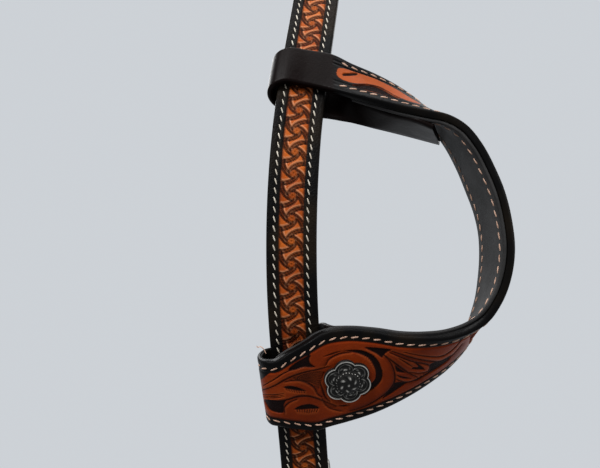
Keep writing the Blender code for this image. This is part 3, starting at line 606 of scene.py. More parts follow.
class Nodes:
    """A short way to build the node tree of a material or a world."""

    def __init__(self, owner):
        owner.use_nodes = True
        self.owner, self.tree = owner, owner.node_tree
        self.shader = self.tree.nodes.get("Principled BSDF")

    def feed(self, socket, value):
        """Link another socket to this one, or set its value."""
        if isinstance(value, bpy.types.NodeSocket):
            self.tree.links.new(value, socket)
        else:
            socket.default_value = (*value, 1.0) if isinstance(value, tuple) else value

    def add(self, kind, inputs=(), **settings):
        node = self.tree.nodes.new(kind)
        for key, value in settings.items():
            setattr(node, key, value)
        for key, value in dict(inputs).items():
            self.feed(node.inputs[key], value)
        return node

    def where(self):
        return self.add("ShaderNodeTexCoord").outputs["Object"]

    def noise(self, scale, detail=3.0, roughness=0.55):
        return self.add("ShaderNodeTexNoise", {
            "Vector": self.where(), "Scale": scale, "Detail": detail,
            "Roughness": roughness}).outputs["Fac"]

    def ramp(self, value, *stops):
        node = self.add("ShaderNodeValToRGB", {"Fac": value})
        elements = node.color_ramp.elements
        while len(elements) < len(stops):
            elements.new(0.5)
        for element, (at, colour) in zip(elements, stops):
            element.position = at
            element.color = (*colour, 1.0)
        return node.outputs["Color"]

    def mix(self, share, first, second):
        return self.add("ShaderNodeMix", {0: share, 6: first, 7: second}, data_type="RGBA").outputs[2]

    def math(self, operation, *values):
        return self.add("ShaderNodeMath", enumerate(values), operation=operation).outputs[0]

    def masks(self):
        node = self.add("ShaderNodeAttribute", attribute_name="tooling")
        split = self.add("ShaderNodeSeparateColor", {"Color": node.outputs["Color"]})
        return *(split.outputs[key] for key in ("Red", "Green", "Blue")), node.outputs["Alpha"]

    def seen(self):
        """1 for rays from the camera or by way of something shiny or clear, else 0."""
        rays = self.add("ShaderNodeLightPath").outputs
        seen = self.math("MAXIMUM", rays["Is Camera Ray"], rays["Is Glossy Ray"])
        return self.math("MAXIMUM", seen, rays["Is Transmission Ray"])

    def bump(self, *heights):
        """Stack of bumps: pairs of height and depth in metres."""
        normal = None
        for height, depth in heights:
            inputs = {"Height": height, "Distance": depth, "Strength": 1.0}
            if normal:
                inputs["Normal"] = normal
            normal = self.add("ShaderNodeBump", inputs).outputs["Normal"]
        self.tree.links.new(normal, self.shader.inputs["Normal"])

    def set(self, **values):
        for key, value in values.items():
            self.feed(self.shader.inputs[key.replace("_", " ")], value)
        return self.owner


# Colours, linear: low, middle and high of the tans and the painted highlight tan of raised lips, else low
# and high
STRAP_TAN = (0.2, 0.033, 0.005), (0.335, 0.066, 0.009), (0.47, 0.115, 0.018), (0.66, 0.27, 0.13)
EAR_TAN = (0.118, 0.014, 0.0023), (0.2, 0.025, 0.0037), (0.28, 0.042, 0.0071), (0.44, 0.115, 0.026)
# Antique dye in the cuts and grounds, also used as painted shade on the cuts' bevelled slopes and along
# the panels' edges
ANTIQUE_AND_SHADE = (0.008, 0.0022, 0.0018), (0.0022, 0.0011, 0.0011)
BORDER_INK = (0.001, 0.001, 0.0011), (0.0032, 0.0029, 0.003)
RUBBED_INK = (0.0105, 0.0072, 0.0042)
WRAP_BROWN = (0.0018, 0.0008, 0.0007), (0.0046, 0.002, 0.0017)
CHARCOAL = (0.011, 0.0105, 0.0105), (0.026, 0.025, 0.025)
BACK_BLACK = (0.005, 0.0045, 0.005), (0.012, 0.011, 0.011)
KEEPER_BROWN = (0.004, 0.0021, 0.0018), (0.0095, 0.0048, 0.0039)
CREAM_THREAD = (0.34, 0.29, 0.22), (0.62, 0.57, 0.48)
EAR_THREAD = (0.26, 0.14, 0.09), (0.52, 0.33, 0.24)
SILVER = (0.13, 0.125, 0.115), (0.3, 0.29, 0.265)
SILVER_EDGE = (0.7, 0.67, 0.61)
SILVER_HOLLOW = (0.012, 0.0115, 0.011)
NOTHING, MOST = (0.0, 0.0, 0.0), (0.8, 0.8, 0.8)


def tooled_leather(name, low, middle, high, bright):
    """Carved tan with dark antique in its cuts and painted shade on their bevelled slopes, a painted
    highlight tan on raised lips, black burnished borders and plain brown ends.
    """
    nodes = Nodes(bpy.data.materials.new(name))
    black, dark, pale, plain = nodes.masks()
    fine = nodes.noise(900.0, 3.0, 0.6)
    tan = nodes.ramp(nodes.noise(55.0, 4.0), (0.30, low), (0.50, middle), (0.70, high))
    tan = nodes.mix(nodes.math("MULTIPLY", fine, 0.35), tan, low)
    # Painted highlight tan where pale; antique, and painted shade on slopes, where dark
    colour = nodes.mix(pale, tan, bright)
    colour = nodes.mix(dark, colour, nodes.mix(nodes.noise(500.0, 2.0), *ANTIQUE_AND_SHADE))
    rubbed = nodes.ramp(nodes.noise(38.0), (0.48, NOTHING), (0.66, MOST))
    ink = nodes.mix(rubbed, nodes.mix(nodes.noise(300.0), *BORDER_INK), RUBBED_INK)
    colour = nodes.mix(black, colour, ink)
    colour = nodes.mix(plain, colour, nodes.mix(nodes.noise(120.0, 4.0), *WRAP_BROWN))
    rough = nodes.math("MULTIPLY_ADD", nodes.noise(140.0, 4.0), 0.24, 0.24)
    rough = nodes.math("MULTIPLY_ADD", dark, 0.25, rough)
    pores = nodes.add("ShaderNodeTexVoronoi", {"Vector": nodes.where(), "Scale": 1400.0})
    pits = nodes.math("MULTIPLY", pores.outputs["Distance"], nodes.math("MULTIPLY_ADD", dark, 0.9, 0.1))
    nodes.bump((fine, 0.00007), (pits, 0.00022))
    return nodes.set(Base_Color=colour, Roughness=rough, Specular_IOR_Level=0.045)


def plain_leather(name, low, high, roughness):
    """Smooth dyed leather with a fine grain and a cloudy dye."""
    nodes = Nodes(bpy.data.materials.new(name))
    colour = nodes.ramp(nodes.noise(90.0, 5.0), (0.32, low), (0.70, high))
    rough = nodes.math("MULTIPLY_ADD", nodes.noise(200.0), 0.22, roughness)
    nodes.bump((nodes.noise(1100.0, 4.0, 0.65), 0.0001), (nodes.noise(120.0), 0.0001))
    return nodes.set(Base_Color=colour, Roughness=rough, Specular_IOR_Level=0.16)


def thread(name, low, high):
    """Waxed thread with its twist."""
    nodes = Nodes(bpy.data.materials.new(name))
    colour = nodes.ramp(nodes.noise(700.0), (0.30, low), (0.65, high))
    nodes.bump((nodes.noise(2600.0, 2.0), 0.00012))
    return nodes.set(Base_Color=colour, Roughness=0.62)


def old_silver():
    """Antiqued white metal: bright on the high edges, black in the hollows."""
    nodes = Nodes(bpy.data.materials.new("old_silver"))
    _, dark, pale, _ = nodes.masks()
    cloud = nodes.noise(420.0, 4.0)
    metal = nodes.mix(pale, nodes.ramp(cloud, (0.3, SILVER[0]), (0.7, SILVER[1])), SILVER_EDGE)
    rough = nodes.math("MULTIPLY_ADD", dark, 0.30, nodes.math("MULTIPLY_ADD", cloud, 0.2, 0.14))
    nodes.bump((nodes.noise(1500.0), 0.00008))
    return nodes.set(Base_Color=nodes.mix(dark, metal, SILVER_HOLLOW), Metallic=0.95, Roughness=rough)


# Tooling of the strap in metres, and of its stamps in shares of their pitch
PANEL_LEFT = -0.00475
PANEL_RIGHT = 0.0044
STAMP_PITCH = 0.00836
STAMP_PHASE = -0.00087
STAMP_DEPTH = 0.00042
BEVEL_DEPTH = 0.0003
BEVEL_WIDTH = 0.0003
CHANNEL_DEPTH = 0.00022
CHANNEL_WIDTH = 0.00045
LINING_CHANNEL_DEPTH = 0.0002
LINING_CHANNEL_WIDTH = 0.0005
INK_SHORT_FADE = 0.0002
INK_LONG_FADE = 0.0003
PANEL_SHADE = 0.55
PANEL_SHADE_REACH = 0.0009
PLAIN_POINT = 0.002
FRONT_MARGIN = 0.004
FRONT_COSINE = 0.9
LEFT_ROW = -0.00655
RIGHT_ROW = 0.006
STRAP_STITCH = 0.00345
STITCH_TILT = math.radians(20.0)
STITCH_SINK = 0.00012
STRAP_GRAIN = (0.0026, 0.00056, 0.0006)
ARM_UP_SHARES = [(-0.17, -0.10), (-0.08, -0.23), (0.06, -0.34), (0.27, -0.43), (0.60, -0.49)]
ARM_SIDE_SHARES = [(-0.52, -0.54), (-0.50, -0.34), (-0.40, -0.14), (-0.23, 0.03), (-0.04, 0.15)]
ARMS = ((ARM_UP_SHARES, 0.078, 0.92), (ARM_SIDE_SHARES, 0.100, 0.95))
GROOVE_SHARE = 0.034
RIDGE_SHARE = 0.022
LIP_SHARE = 0.030
RING_SHARE = 0.125
DOT_SHARE = 0.050
FLOOR_EDGE = (0.6, 1.1)
RING_EDGE = (1.05, 1.35)
DOT_EDGE = (0.8, 1.6)
RIDGE_LIGHT = 0.30
FLOOR_DEPTH = 0.45
CIRCLE_DEPTH = 0.7
CIRCLE_SHADE = 0.60
DOT_SHADE = 0.35


def strap_tooling(across, along):
    """Relief and masks of the strap's face: running pinwheel stamps between black borders."""
    shape = across.shape
    across, along = across.reshape(-1), along.reshape(-1)
    cell = np.mod(along + STAMP_PHASE, STAMP_PITCH) / STAMP_PITCH - 0.5
    stamped = (across > PANEL_LEFT - STAMP_PITCH / 8) & (across < PANEL_RIGHT + STAMP_PITCH / 8)
    chosen = np.stack([across / STAMP_PITCH, cell], -1)[stamped]
    depth, shade, light = np.zeros((3, len(chosen)))
    for shares, half, wash in ARMS:
        for sign in (1, -1):
            for shift in (-1, 0, 1):
                curve = curve_points(shares) * sign + np.array([0.0, shift])
                away, _, edge = near_curve(chosen, curve)
                groove = bell(away, half, GROOVE_SHARE)
                floor = 1 - ramp(away, *(half * share for share in FLOOR_EDGE))
                depth = np.maximum(depth, np.maximum(groove, floor * FLOOR_DEPTH))
                ridge = 1 - RIDGE_LIGHT * bell(away, 0.0, RIDGE_SHARE)
                shade = np.maximum(shade, np.maximum(groove, floor * wash * ridge))
                # Painted highlight on the lip along one side of each arm
                lip = bell(away - half, 2 * LIP_SHARE, LIP_SHARE) * (edge * sign < 0)
                light = np.maximum(light, lip)
    reach = np.hypot(chosen[:, 0], chosen[:, 1])
    around = ramp(reach, *(RING_SHARE * share for share in RING_EDGE))
    circle = bell(reach, RING_SHARE, RIDGE_SHARE)
    dot = 1 - ramp(reach, *(DOT_SHARE * share for share in DOT_EDGE))
    depth = np.maximum(depth * around, np.maximum(circle * CIRCLE_DEPTH, dot))
    shade = np.maximum(shade * around, np.maximum(circle * CIRCLE_SHADE, dot * DOT_SHADE))
    cut, dark, pale = layers = np.zeros((3, len(across)))
    layers[:, stamped] = depth, shade, light * around
    border = np.maximum(
        1 - ramp(across, PANEL_LEFT - INK_SHORT_FADE, PANEL_LEFT + INK_LONG_FADE),
        ramp(across, PANEL_RIGHT - INK_LONG_FADE, PANEL_RIGHT + INK_SHORT_FADE))
    bevel, channel = (
        np.maximum(bell(across, left, width), bell(across, right, width))
        for left, right, width in (
            (PANEL_LEFT, PANEL_RIGHT, BEVEL_WIDTH), (LEFT_ROW, RIGHT_ROW, CHANNEL_WIDTH)))
    edge = np.minimum(across - PANEL_LEFT, PANEL_RIGHT - across)
    # Painted shade along the panel's edges beside its bevel
    dark = np.maximum(dark, PANEL_SHADE * (1 - ramp(edge, 0.0, PANEL_SHADE_REACH)))
    relief = -STAMP_DEPTH * cut * (1 - border) - BEVEL_DEPTH * bevel - CHANNEL_DEPTH * channel
    return [layer.reshape(shape) for layer in (relief, border, dark, pale * (1 - border))]


def ply_ring(half, low, high, columns, rounding):
    """Closed section of a ply, as across and out: chamfered below, rounded above."""
    inner = np.linspace(-half + rounding, half - rounding, columns)
    turn = np.linspace(0.0, math.pi / 2, ROUND_STEPS)[:-1]
    left = -half + rounding - rounding * np.cos(turn)
    rise = high - rounding + rounding * np.sin(turn)
    across = np.concatenate([
        [-half + PLY_CHAMFER, -half], left, inner, -left[::-1], [half, half - PLY_CHAMFER]])
    out = np.concatenate([[low, low + PLY_CHAMFER], rise, np.full(columns, high), rise[::-1],
                          [low + PLY_CHAMFER, low]])
    return across, out


def punch(prisms, targets):
    """Cut prisms, each between two rings, out of replaced plies."""
    points, faces = [], []
    for low, high in prisms:
        first, sides = len(points), len(low)
        ring = list(range(first, first + sides))
        points += [*low, *high]
        faces += [[a, b, b + sides, a + sides] for a, b in zip(ring, ring[1:] + ring[:1])]
        faces += [ring[::-1], [index + sides for index in ring]]
    made = new_mesh("cutter", points, faces)
    for target in targets:
        cut = target.modifiers.new("cutter", "BOOLEAN")
        cut.operation, cut.solver, cut.object = "DIFFERENCE", "MANIFOLD", made
        settle(target)
    bpy.data.objects.remove(made, do_unlink=True)


def crown_holes():
    """Rings of the crown's holes; the buckled one is a short slot."""
    prisms = []
    for side in SIDES.values():
        for index in range(HOLE_COUNT):
            along = HOLE_FIRST + index * HOLE_PITCH
            slot = TONGUE_SLOT / 2 - HOLE_RADIUS if index == BUCKLED_HOLE else 0.0
            prisms.append([[
                place(HOLE_RADIUS * math.cos(angle),
                      along + HOLE_RADIUS * math.sin(angle) + math.copysign(slot, math.sin(angle)),
                      out, side)
                for angle in circle_angles(HOLE_SIDES, 0.5)]
                for out in (-OVERRUN, STRAP_THICKNESS + OVERRUN)])
    return prisms


def crown_rows():
    """Fine rows along the crown and its half width's share at each."""
    straight = np.arange(0.0, CROWN_TIP - POINT_LENGTH, ROW_STEP)
    point = CROWN_TIP - POINT_LENGTH + np.linspace(0.0, POINT_LENGTH, POINT_STEPS)
    half_run = np.concatenate([straight, point])
    along = np.concatenate([-half_run[:0:-1], half_run])
    width = np.interp((abs(along) - CROWN_TIP + POINT_LENGTH) / POINT_LENGTH, *np.transpose(POINT_SHARES))
    return along[:, None], width[:, None]


def crown_face(look):
    """The crown's outer ply with its tooling in relief."""
    along, width = crown_rows()
    across, out = ply_ring(STRAP_HALF, LINING_PLY + PLY_LIFT, STRAP_THICKNESS, CROWN_COLUMNS,
                           CROWN_ROUNDING)
    across = across[None, :] * width
    along = np.broadcast_to(along, across.shape)
    relief, border, dark, pale = strap_tooling(across, abs(along))
    top = (out > STRAP_THICKNESS - FACE_SLACK)[None, :]
    point_start = CROWN_TIP - POINT_LENGTH - PLAIN_POINT
    point = ramp(abs(along), point_start - PLAIN_POINT, point_start)
    relief = relief * top * (1 - point)
    border = np.maximum(np.maximum(border, ~top), point)
    points = place(across, along, out[None, :] + relief)
    made = new_mesh("tooled_crown", points, ring_faces(*across.shape), look)
    paint(made, (border, dark * top, pale * top))
    return made


def crown_lining(look):
    """The crown's inner ply, rounded on the horse's side, with a shallow channel for each row."""
    along, width = (rows[::BACK_ROW_SKIP] for rows in crown_rows())
    across, out = ply_ring(STRAP_HALF, PLY_LIFT, LINING_PLY, BACK_PLY_COLUMNS, SOFT_ROUNDING)
    across, out = across[None, ::-1] * width, out[None, ::-1]
    rows = sum(bell(across, row, LINING_CHANNEL_WIDTH) for row in (LEFT_ROW, RIGHT_ROW))
    level = LINING_PLY - out + LINING_CHANNEL_DEPTH * rows * (out > LINING_PLY - FACE_SLACK)
    points = place(across, np.broadcast_to(along, across.shape), level)
    return new_mesh("smooth_crown_lining", points, ring_faces(*across.shape), look)


def cheek_path():
    """Middle of the cheek's ply as along and out: fold tail, buckle fold, front, bit loop, tail."""
    path = [(HEEL_BAR + FOLD_TAIL, CHEEK_BACK_MID)]
    fold_back = HEEL_OUT - FOLD_RADIUS
    path += [(HEEL_BAR + FOLD_TAIL * reach, CHEEK_BACK_MID + (fold_back - CHEEK_BACK_MID) * share)
             for reach, share in reversed(FOLD_EASE_SHARES)]
    path += [(HEEL_BAR - FOLD_RADIUS * math.cos(angle), HEEL_OUT + FOLD_RADIUS * math.sin(angle))
             for angle in np.linspace(-math.pi / 2, math.pi / 2, FOLD_ARC_STEPS)]
    neck = BIT_LOOP_AT - BIT_LOOP_NECK
    path.append((neck, CHEEK_FACE_MID))
    lean = math.asin((BIT_LOOP_MID - (CHEEK_FACE_MID - BIT_LOOP_OUT)) / BIT_LOOP_NECK)
    path += [(BIT_LOOP_AT + BIT_LOOP_MID * math.cos(angle), BIT_LOOP_OUT + BIT_LOOP_MID * math.sin(angle))
             for angle in np.linspace(1, -1, BIT_ARC_STEPS) * (math.pi / 2 + lean)]
    return np.array(path + [(neck, CHEEK_BACK_MID), (BIT_TAIL_END, CHEEK_BACK_MID)])


def cheek_face(side_name, side, look):
    """A cheek's folded ply: tooled between black borders in front, plain black where it turns back."""
    path = cheek_path()
    run = run_along(path)
    line = read_at(np.arange(0.0, run[-1], ROW_STEP), run, path)
    inner, width = slice(SMOOTH_REACH, -SMOOTH_REACH), 2 * SMOOTH_REACH + 1
    padded = np.pad(line, ((SMOOTH_REACH, SMOOTH_REACH), (0, 0)), mode="edge")
    smooth = [np.convolve(column, np.ones(width) / width, "valid") for column in padded.T]
    line[inner] = np.stack(smooth, -1)[inner]
    step = unit(np.gradient(line, axis=0))
    across, out = ply_ring(STRAP_HALF, -CHEEK_PLY / 2, CHEEK_PLY / 2, CHEEK_COLUMNS, SOFT_ROUNDING)
    grid = np.broadcast_to(across[None, :], (len(line), len(across)))
    along = np.broadcast_to(line[:, :1], grid.shape)
    relief, border, dark, pale = strap_tooling(grid, along)
    first, last = HEEL_BAR + FRONT_MARGIN, BIT_LOOP_AT - BIT_LOOP_NECK + FRONT_MARGIN
    front = (step[:, 0] > FRONT_COSINE) & (line[:, 0] > first) & (line[:, 0] < last)
    worked = (out > CHEEK_PLY / 2 - FACE_SLACK)[None, :] * front[:, None]
    level = out[None, :] + relief * worked
    points = place(grid, along - step[:, 1:] * level, line[:, 1:] + step[:, :1] * level, side)
    made = new_mesh(f"tooled_{side_name}_cheek", points, ring_faces(*grid.shape), look)
    paint(made, (np.where(worked, border, 1.0), dark * worked, pale * worked))
    slot_half = TONGUE_WIRE + TONGUE_GAP
    corners = [(-slot_half, -1), (slot_half, -1), (slot_half, 1), (-slot_half, 1)]
    slot = [[place(at, HEEL_BAR + end * (FOLD_RADIUS + OVERRUN), level, side) for at, end in corners]
            for level in (HEEL_OUT - FOLD_RADIUS - OVERRUN, CHEEK_FACE_MID + CHEEK_PLY)]
    seat, normal = bit_seat(side)
    hole = [round_ring(seat + normal * reach, normal, POST_RADIUS + POST_HOLE_GAP)
            for reach in (-CHEEK_STACK - OVERRUN, OVERRUN)]
    punch([slot, hole], [made])
    return made


def seat_axes(normal):
    """Two directions across a seat."""
    side = unit(np.cross(normal, (0.0, 0.0, 1.0)))
    return side, np.cross(side, normal)


def round_ring(centre, axis, radius):
    """A ring of points round an axis."""
    side, up = seat_axes(axis)
    turn = circle_angles(HOLE_SIDES, 0.5)
    return list(centre + radius * (np.cos(turn)[:, None] * side + np.sin(turn)[:, None] * up))


def bit_seat(side):
    """Point and outward direction of a cheek's face under its concho."""
    _, _, normal = axes_at(np.array([BIT_CONCHO_AT]))
    return place(0.0, BIT_CONCHO_AT, -CHEEK_GAP, side), normal[0] * np.array([1.0, side, 1.0])


def concho_seat():
    """Point and outward direction of the ear's face under the concho."""
    near, far = EAR_SHARES[CONCHO_STATION]
    run = sum(
        place(*ear_edge(EAR_SHARES[CONCHO_STATION + 1][edge]))
        - place(*ear_edge(EAR_SHARES[CONCHO_STATION - 1][edge])) for edge in (0, 1))
    width = place(*ear_edge(far)) - place(*ear_edge(near))
    middle = [(a + b) / 2 for a, b in zip(ear_edge(near), ear_edge(far))]
    return place(*middle), unit(np.cross(run, width))


def turned(name, seat, normal, reach, height, tail, dark, pale, look):
    """A part round a seat's axis, from rings of reach and height and a tail of plain rings."""
    angle = circle_angles(reach.shape[1])
    ones, blank = np.ones((1, reach.shape[1])), np.zeros((len(tail), reach.shape[1]))
    reach = np.concatenate([reach, *(tail_reach * ones for tail_reach, _ in tail)])
    height = np.concatenate([height, *(tail_height * ones for _, tail_height in tail)])
    side, up = seat_axes(normal)
    points = (seat + normal * CONCHO_GAP + (np.cos(angle) * reach)[..., None] * side
              + (np.sin(angle) * reach)[..., None] * up + height[..., None] * normal)
    made = new_mesh(name, points, ring_faces(*reach.shape), look)
    paint(made, (np.zeros(reach.shape), np.concatenate([dark, blank]), np.concatenate([pale, blank])))
    return made


# Concho: its turn, the shares of its rings, its profile as share of the radius and millimetres
CONCHO_TURN = math.radians(17.0)
PROFILE = [(0.0, 3.30), (0.13, 3.25), (0.28, 2.95), (0.42, 2.45), (0.52, 1.75), (0.60, 1.20),
           (0.68, 0.98), (0.84, 0.85), (0.885, 0.95), (0.93, 1.38), (0.965, 1.34), (0.99, 1.10),
           (1.0, 0.85)]
CONCHO_RINGS = np.concatenate([np.linspace(0.012, 0.90, 62), np.linspace(0.905, 1.0, 14)])[:, None]
DOME_SHARE = 0.94
CARVED_HEIGHT = 0.00042

# Screw: the shares of its rings, half width and depth of its slot, rounding of the head
SCREW_RINGS = np.concatenate([np.linspace(0.02, 0.86, 24), np.linspace(0.90, 1.0, 6)])[:, None]
SLOT_EDGE = (0.0003, 0.0004)
SLOT_DEPTH = 0.0006
HEAD_ROUNDING = 0.00035


def concho(name, seat, normal, depth, look):
    """Flower concho: lobed raised rim, scrolls in dark recesses, petalled dome, bored post."""
    sweep = circle_angles(CONCHO_SIDES) - CONCHO_TURN
    sector = math.tau / LOBES
    local = np.mod(sweep + sector / 2, sector) - sector / 2
    centre, lobe = LOBE_CENTRE_SHARE * CONCHO_RADIUS, LOBE_RADIUS_SHARE * CONCHO_RADIUS
    outline = centre * np.cos(local) + np.sqrt(lobe ** 2 - (centre * np.sin(local)) ** 2)
    share = CONCHO_RINGS
    lobed = ramp(share, 0.40, 0.66)
    reach = share * (CONCHO_RADIUS * DOME_SHARE * (1 - lobed) + outline * lobed)
    shares, levels = np.transpose(PROFILE)
    u, v = reach * np.cos(local) - centre, reach * np.sin(local)
    away = np.hypot(u, v) / lobe
    curls = np.cos(3 * np.arctan2(v, u) + away * 7.0) * bell(away, 0.42, 0.16)
    outer = 0.7 * bell(away, 0.62, 0.06) + bell(away, 0.16, 0.10) + 0.8 * np.clip(curls, 0.0, 1.0)
    outer = outer * ramp(share, 0.54, 0.62) * (1 - ramp(share, 0.86, 0.90))
    petals = np.cos(3 * (sweep + 2.2 * share)) ** 2 * bell(share, 0.31, 0.12)
    beads = (0.5 + 0.5 * np.cos(24 * sweep)) * bell(share, 0.515, 0.03)
    raised = np.clip(outer + petals + beads + bell(share, 0.0, 0.085), 0.0, 1.0)
    rim = bell(share, 0.945, 0.042) * np.ones_like(raised)
    height = np.interp(share, shares, levels * 0.001) + CARVED_HEIGHT * raised
    dark = 1 - np.maximum(ramp(raised, 0.50, 0.95) * 0.75, ramp(rim, 0.50, 0.90) * 0.8)
    pale = np.maximum(ramp(raised, 0.80, 1.0) * 0.5, ramp(rim, 0.75, 1.0) * 0.6)
    stem = -(CONCHO_GAP + depth)
    tail = [(outline, 0.0), (POST_RADIUS, 0.0), (POST_RADIUS, stem), (POST_BORE, stem),
            (POST_BORE, -CONCHO_GAP)]
    return turned(name, seat, normal, reach, height, tail, dark, pale, look)


def screw(name, seat, normal, depth, look):
    """Slotted screw that closes a concho from behind."""
    back = -(CONCHO_GAP + depth) - CONCHO_SCREW_GAP
    share = SCREW_RINGS
    reach = share * SCREW_HEAD_RADIUS * np.ones((1, SCREW_SIDES))
    slot = 1 - ramp(abs(reach * np.sin(circle_angles(SCREW_SIDES))), *SLOT_EDGE)
    slot = slot * (1 - ramp(share, 0.96, 1.0))
    height = back - SCREW_HEAD + HEAD_ROUNDING * ramp(share, 0.80, 1.0) ** 2 + SLOT_DEPTH * slot
    tail = [(SCREW_HEAD_RADIUS, back), (SCREW_RADIUS, back), (SCREW_RADIUS, -CONCHO_SCREW_GAP)]
    return turned(name, seat, normal, reach, height, tail, slot, 0 * slot, look)


# Softening of the CAD model's shapes: when points and faces count as one, which edges are bevelled
WELD_DISTANCE = 0.000005
FLAT_ANGLE = math.radians(2.0)
QUAD_ANGLE = math.radians(60.0)
BEVEL_ANGLE = math.radians(35.0)
BEVEL_STEPS = 3
SUBDIVISIONS = 2


def softened(name, look, bevel):
    """A CAD node's mesh with smooth faces: its edges bevelled, or without a bevel all subdivided."""
    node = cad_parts[name]
    data = node.data.copy()
    data.materials.clear()
    data.materials.append(look)
    made = new_object(f"smooth_{name}", data)
    made.matrix_world = node.matrix_world.copy()
    welded = bmesh.new()
    welded.from_mesh(data)
    bmesh.ops.remove_doubles(welded, verts=welded.verts, dist=WELD_DISTANCE)
    bmesh.ops.join_triangles(
        welded, faces=welded.faces, angle_face_threshold=FLAT_ANGLE,
        angle_shape_threshold=QUAD_ANGLE)
    welded.to_mesh(data)
    welded.free()
    if bevel:
        rounded = made.modifiers.new("bevel", "BEVEL")
        rounded.width, rounded.segments, rounded.angle_limit = bevel, BEVEL_STEPS, BEVEL_ANGLE
    else:
        smooth = made.modifiers.new("smooth", "SUBSURF")
        smooth.levels = smooth.render_levels = SUBDIVISIONS
    settle(made)
    made.data.shade_smooth()
    return made


def strap_stitches(name, along, row, look, side=RIGHT, out=STRAP_THICKNESS, facing=1):
    """A row of slanted stitches along a strap's outer face, or its inner one, facing -1."""
    centres = place(row, along, out - STITCH_SINK * facing, side)
    across, down, normal = axes_at(abs(along))
    for vectors in (across, down, normal):
        vectors[:, 1] *= np.where(along < 0, -side, side)
    runs = unit(down * math.cos(STITCH_TILT) + across * math.sin(STITCH_TILT))
    return grains(name, centres, runs, normal * facing, STRAP_GRAIN, look)


# Tooling and stitches of the ear piece in metres, and the stations between which the vine runs
EAR_BORDER = 0.0046
EAR_BEVEL_WIDTH = 0.0004
EAR_CHANNEL_WIDTH = 0.0005
EAR_STITCH_ROW = 0.003
EAR_STITCH = 0.0041
EAR_STITCH_SINK = 0.00014
EAR_TILT = math.radians(14.0)
EAR_GRAIN = (0.0029, 0.0007, 0.0007)
LINING_NEAR_ROW = 0.0037
LINING_FAR_ROW = 0.0045
LINING_INSET = 0.0003
VINE_FIRST = 5
VINE_LAST = 15

# Carving that the photograph shows, in photo pixels: widths and lightness in shares
WASH = 0.55
# Share of painted highlight tan over the teardrop, lighter as a top that faces the light
TEARDROP_HIGHLIGHT = 0.32
PLAIN_END = 336.5
PLAIN_FADE = 5.0
SEWN_START = 1.0
BAND_TIP = 436.0
TEARDROP = [
    (336.5, 73.4), (337.6, 69.4), (340.3, 68), (348, 69.5), (367.8, 76), (384, 83),
    (398, 90.2), (410, 97.6), (421, 104), (411, 101.6), (402, 98.4), (394, 94.6),
    (387, 90.4), (378.6, 86.2), (367, 83.7), (355.6, 83.3), (344.9, 80.6), (338.8, 77.2)]
TEARDROP_SLIT = [
    (343, 73.4), (347.2, 73), (355.6, 72.6), (357.9, 73.7), (355.6, 75.3), (343.4, 75.7)]
TEARDROP_GROUND = [
    (351.8, 84.6), (367, 84), (378.6, 86.6), (387, 90.9), (394, 95), (401, 98.4),
    (396, 98.4), (388.5, 96), (378.6, 92.9), (367.8, 90), (359.4, 87.9)]
TOP_GROUND = [(255, 362), (286, 357), (299, 352), (309, 350), (310.5, 356),
              (293, 357.5), (277, 367.5), (261.5, 379.5), (254, 384)]
GROUNDS = [
    [(310.6, 355), (309.6, 360.4), (311.4, 364.4), (315.4, 367.2), (311, 368.2), (303.5, 368),
     (295.3, 370.6), (288.2, 371.3), (290.5, 367), (296.5, 362.6), (303.5, 358.6)],
    [(265.2, 400), (280.5, 400.7), (287.4, 399.4), (284.3, 405.2), (283.4, 413.6), (271, 411.5),
     (265.8, 405.2)],
    [(343.3, 350.9), (351.4, 350.2), (359.6, 350.3), (366.7, 352.2), (373.9, 356.3), (379, 362),
     (382, 369.6), (383, 375.7), (381.2, 381.8), (376.4, 387.2), (369.8, 391.6), (362.5, 396.5),
     (366, 388), (371.6, 383), (375, 378.6), (375.2, 371.5), (372.4, 364.5), (367.8, 358.6),
     (359.6, 354.6), (351.4, 352.6)],
    [(364.7, 347.7), (377, 347.9), (391.2, 349.9), (387, 353), (383.6, 356), (382, 358.6),
     (375.9, 354.3), (369.8, 351.2)],
    [(394.8, 365.6), (399, 368.4), (406, 373.4), (398, 372.8), (395.6, 370.4)],
    [(394.3, 383.2), (400.4, 382.2), (407.5, 383), (403.5, 386), (392.8, 393.4), (382, 399.5),
     (388, 391.5), (392.6, 387)],
    [(430.2, 364.2), (441, 360.8), (452, 355), (449, 360.8), (440.5, 367.2), (432.4, 372.4),
     (425.4, 376.6), (416, 381.8), (412.6, 381), (423, 375.6), (429.4, 371)],
]
WASHES = [
    [(289, 380), (300, 374.6), (316, 371.4), (325, 372.4), (323, 378), (321, 386),
     (318.6, 390), (312, 384.4), (302, 380.4), (293, 380.6)],
    [(376, 363), (379.6, 370), (381, 378), (377.6, 384.6), (370, 391), (369, 386),
     (374.6, 379), (375.6, 371)],
    [(322, 400), (330, 404.6), (338, 407.6), (330, 408.6), (323.6, 405)],
]
EYES = [
    [(283.9, 387), (290.5, 386.1), (298.4, 387.8), (305.8, 391.2), (303.6, 392), (294.5, 391),
     (286, 389.3)],
    [(294.3, 409.4), (300.4, 405.8), (309.6, 404.3), (317.8, 406.8), (318.8, 409.4), (308.6, 409.9),
     (299.4, 410.4)],
    [(413.5, 362.9), (418, 363.8), (425.1, 369.8), (418, 370.3), (411.4, 369.6), (413.2, 367.4),
     (418, 367.2)],
    [(396, 375), (400.4, 376), (407.6, 377.6), (411.8, 378.9), (405.5, 379.5), (399.4, 378)],
    [(322.9, 357.2), (331, 353.6), (341.5, 350.9), (338, 353), (331, 355.4)],
    [(336.8, 406.5), (343.5, 405), (350.6, 405.1), (344, 407)],
]
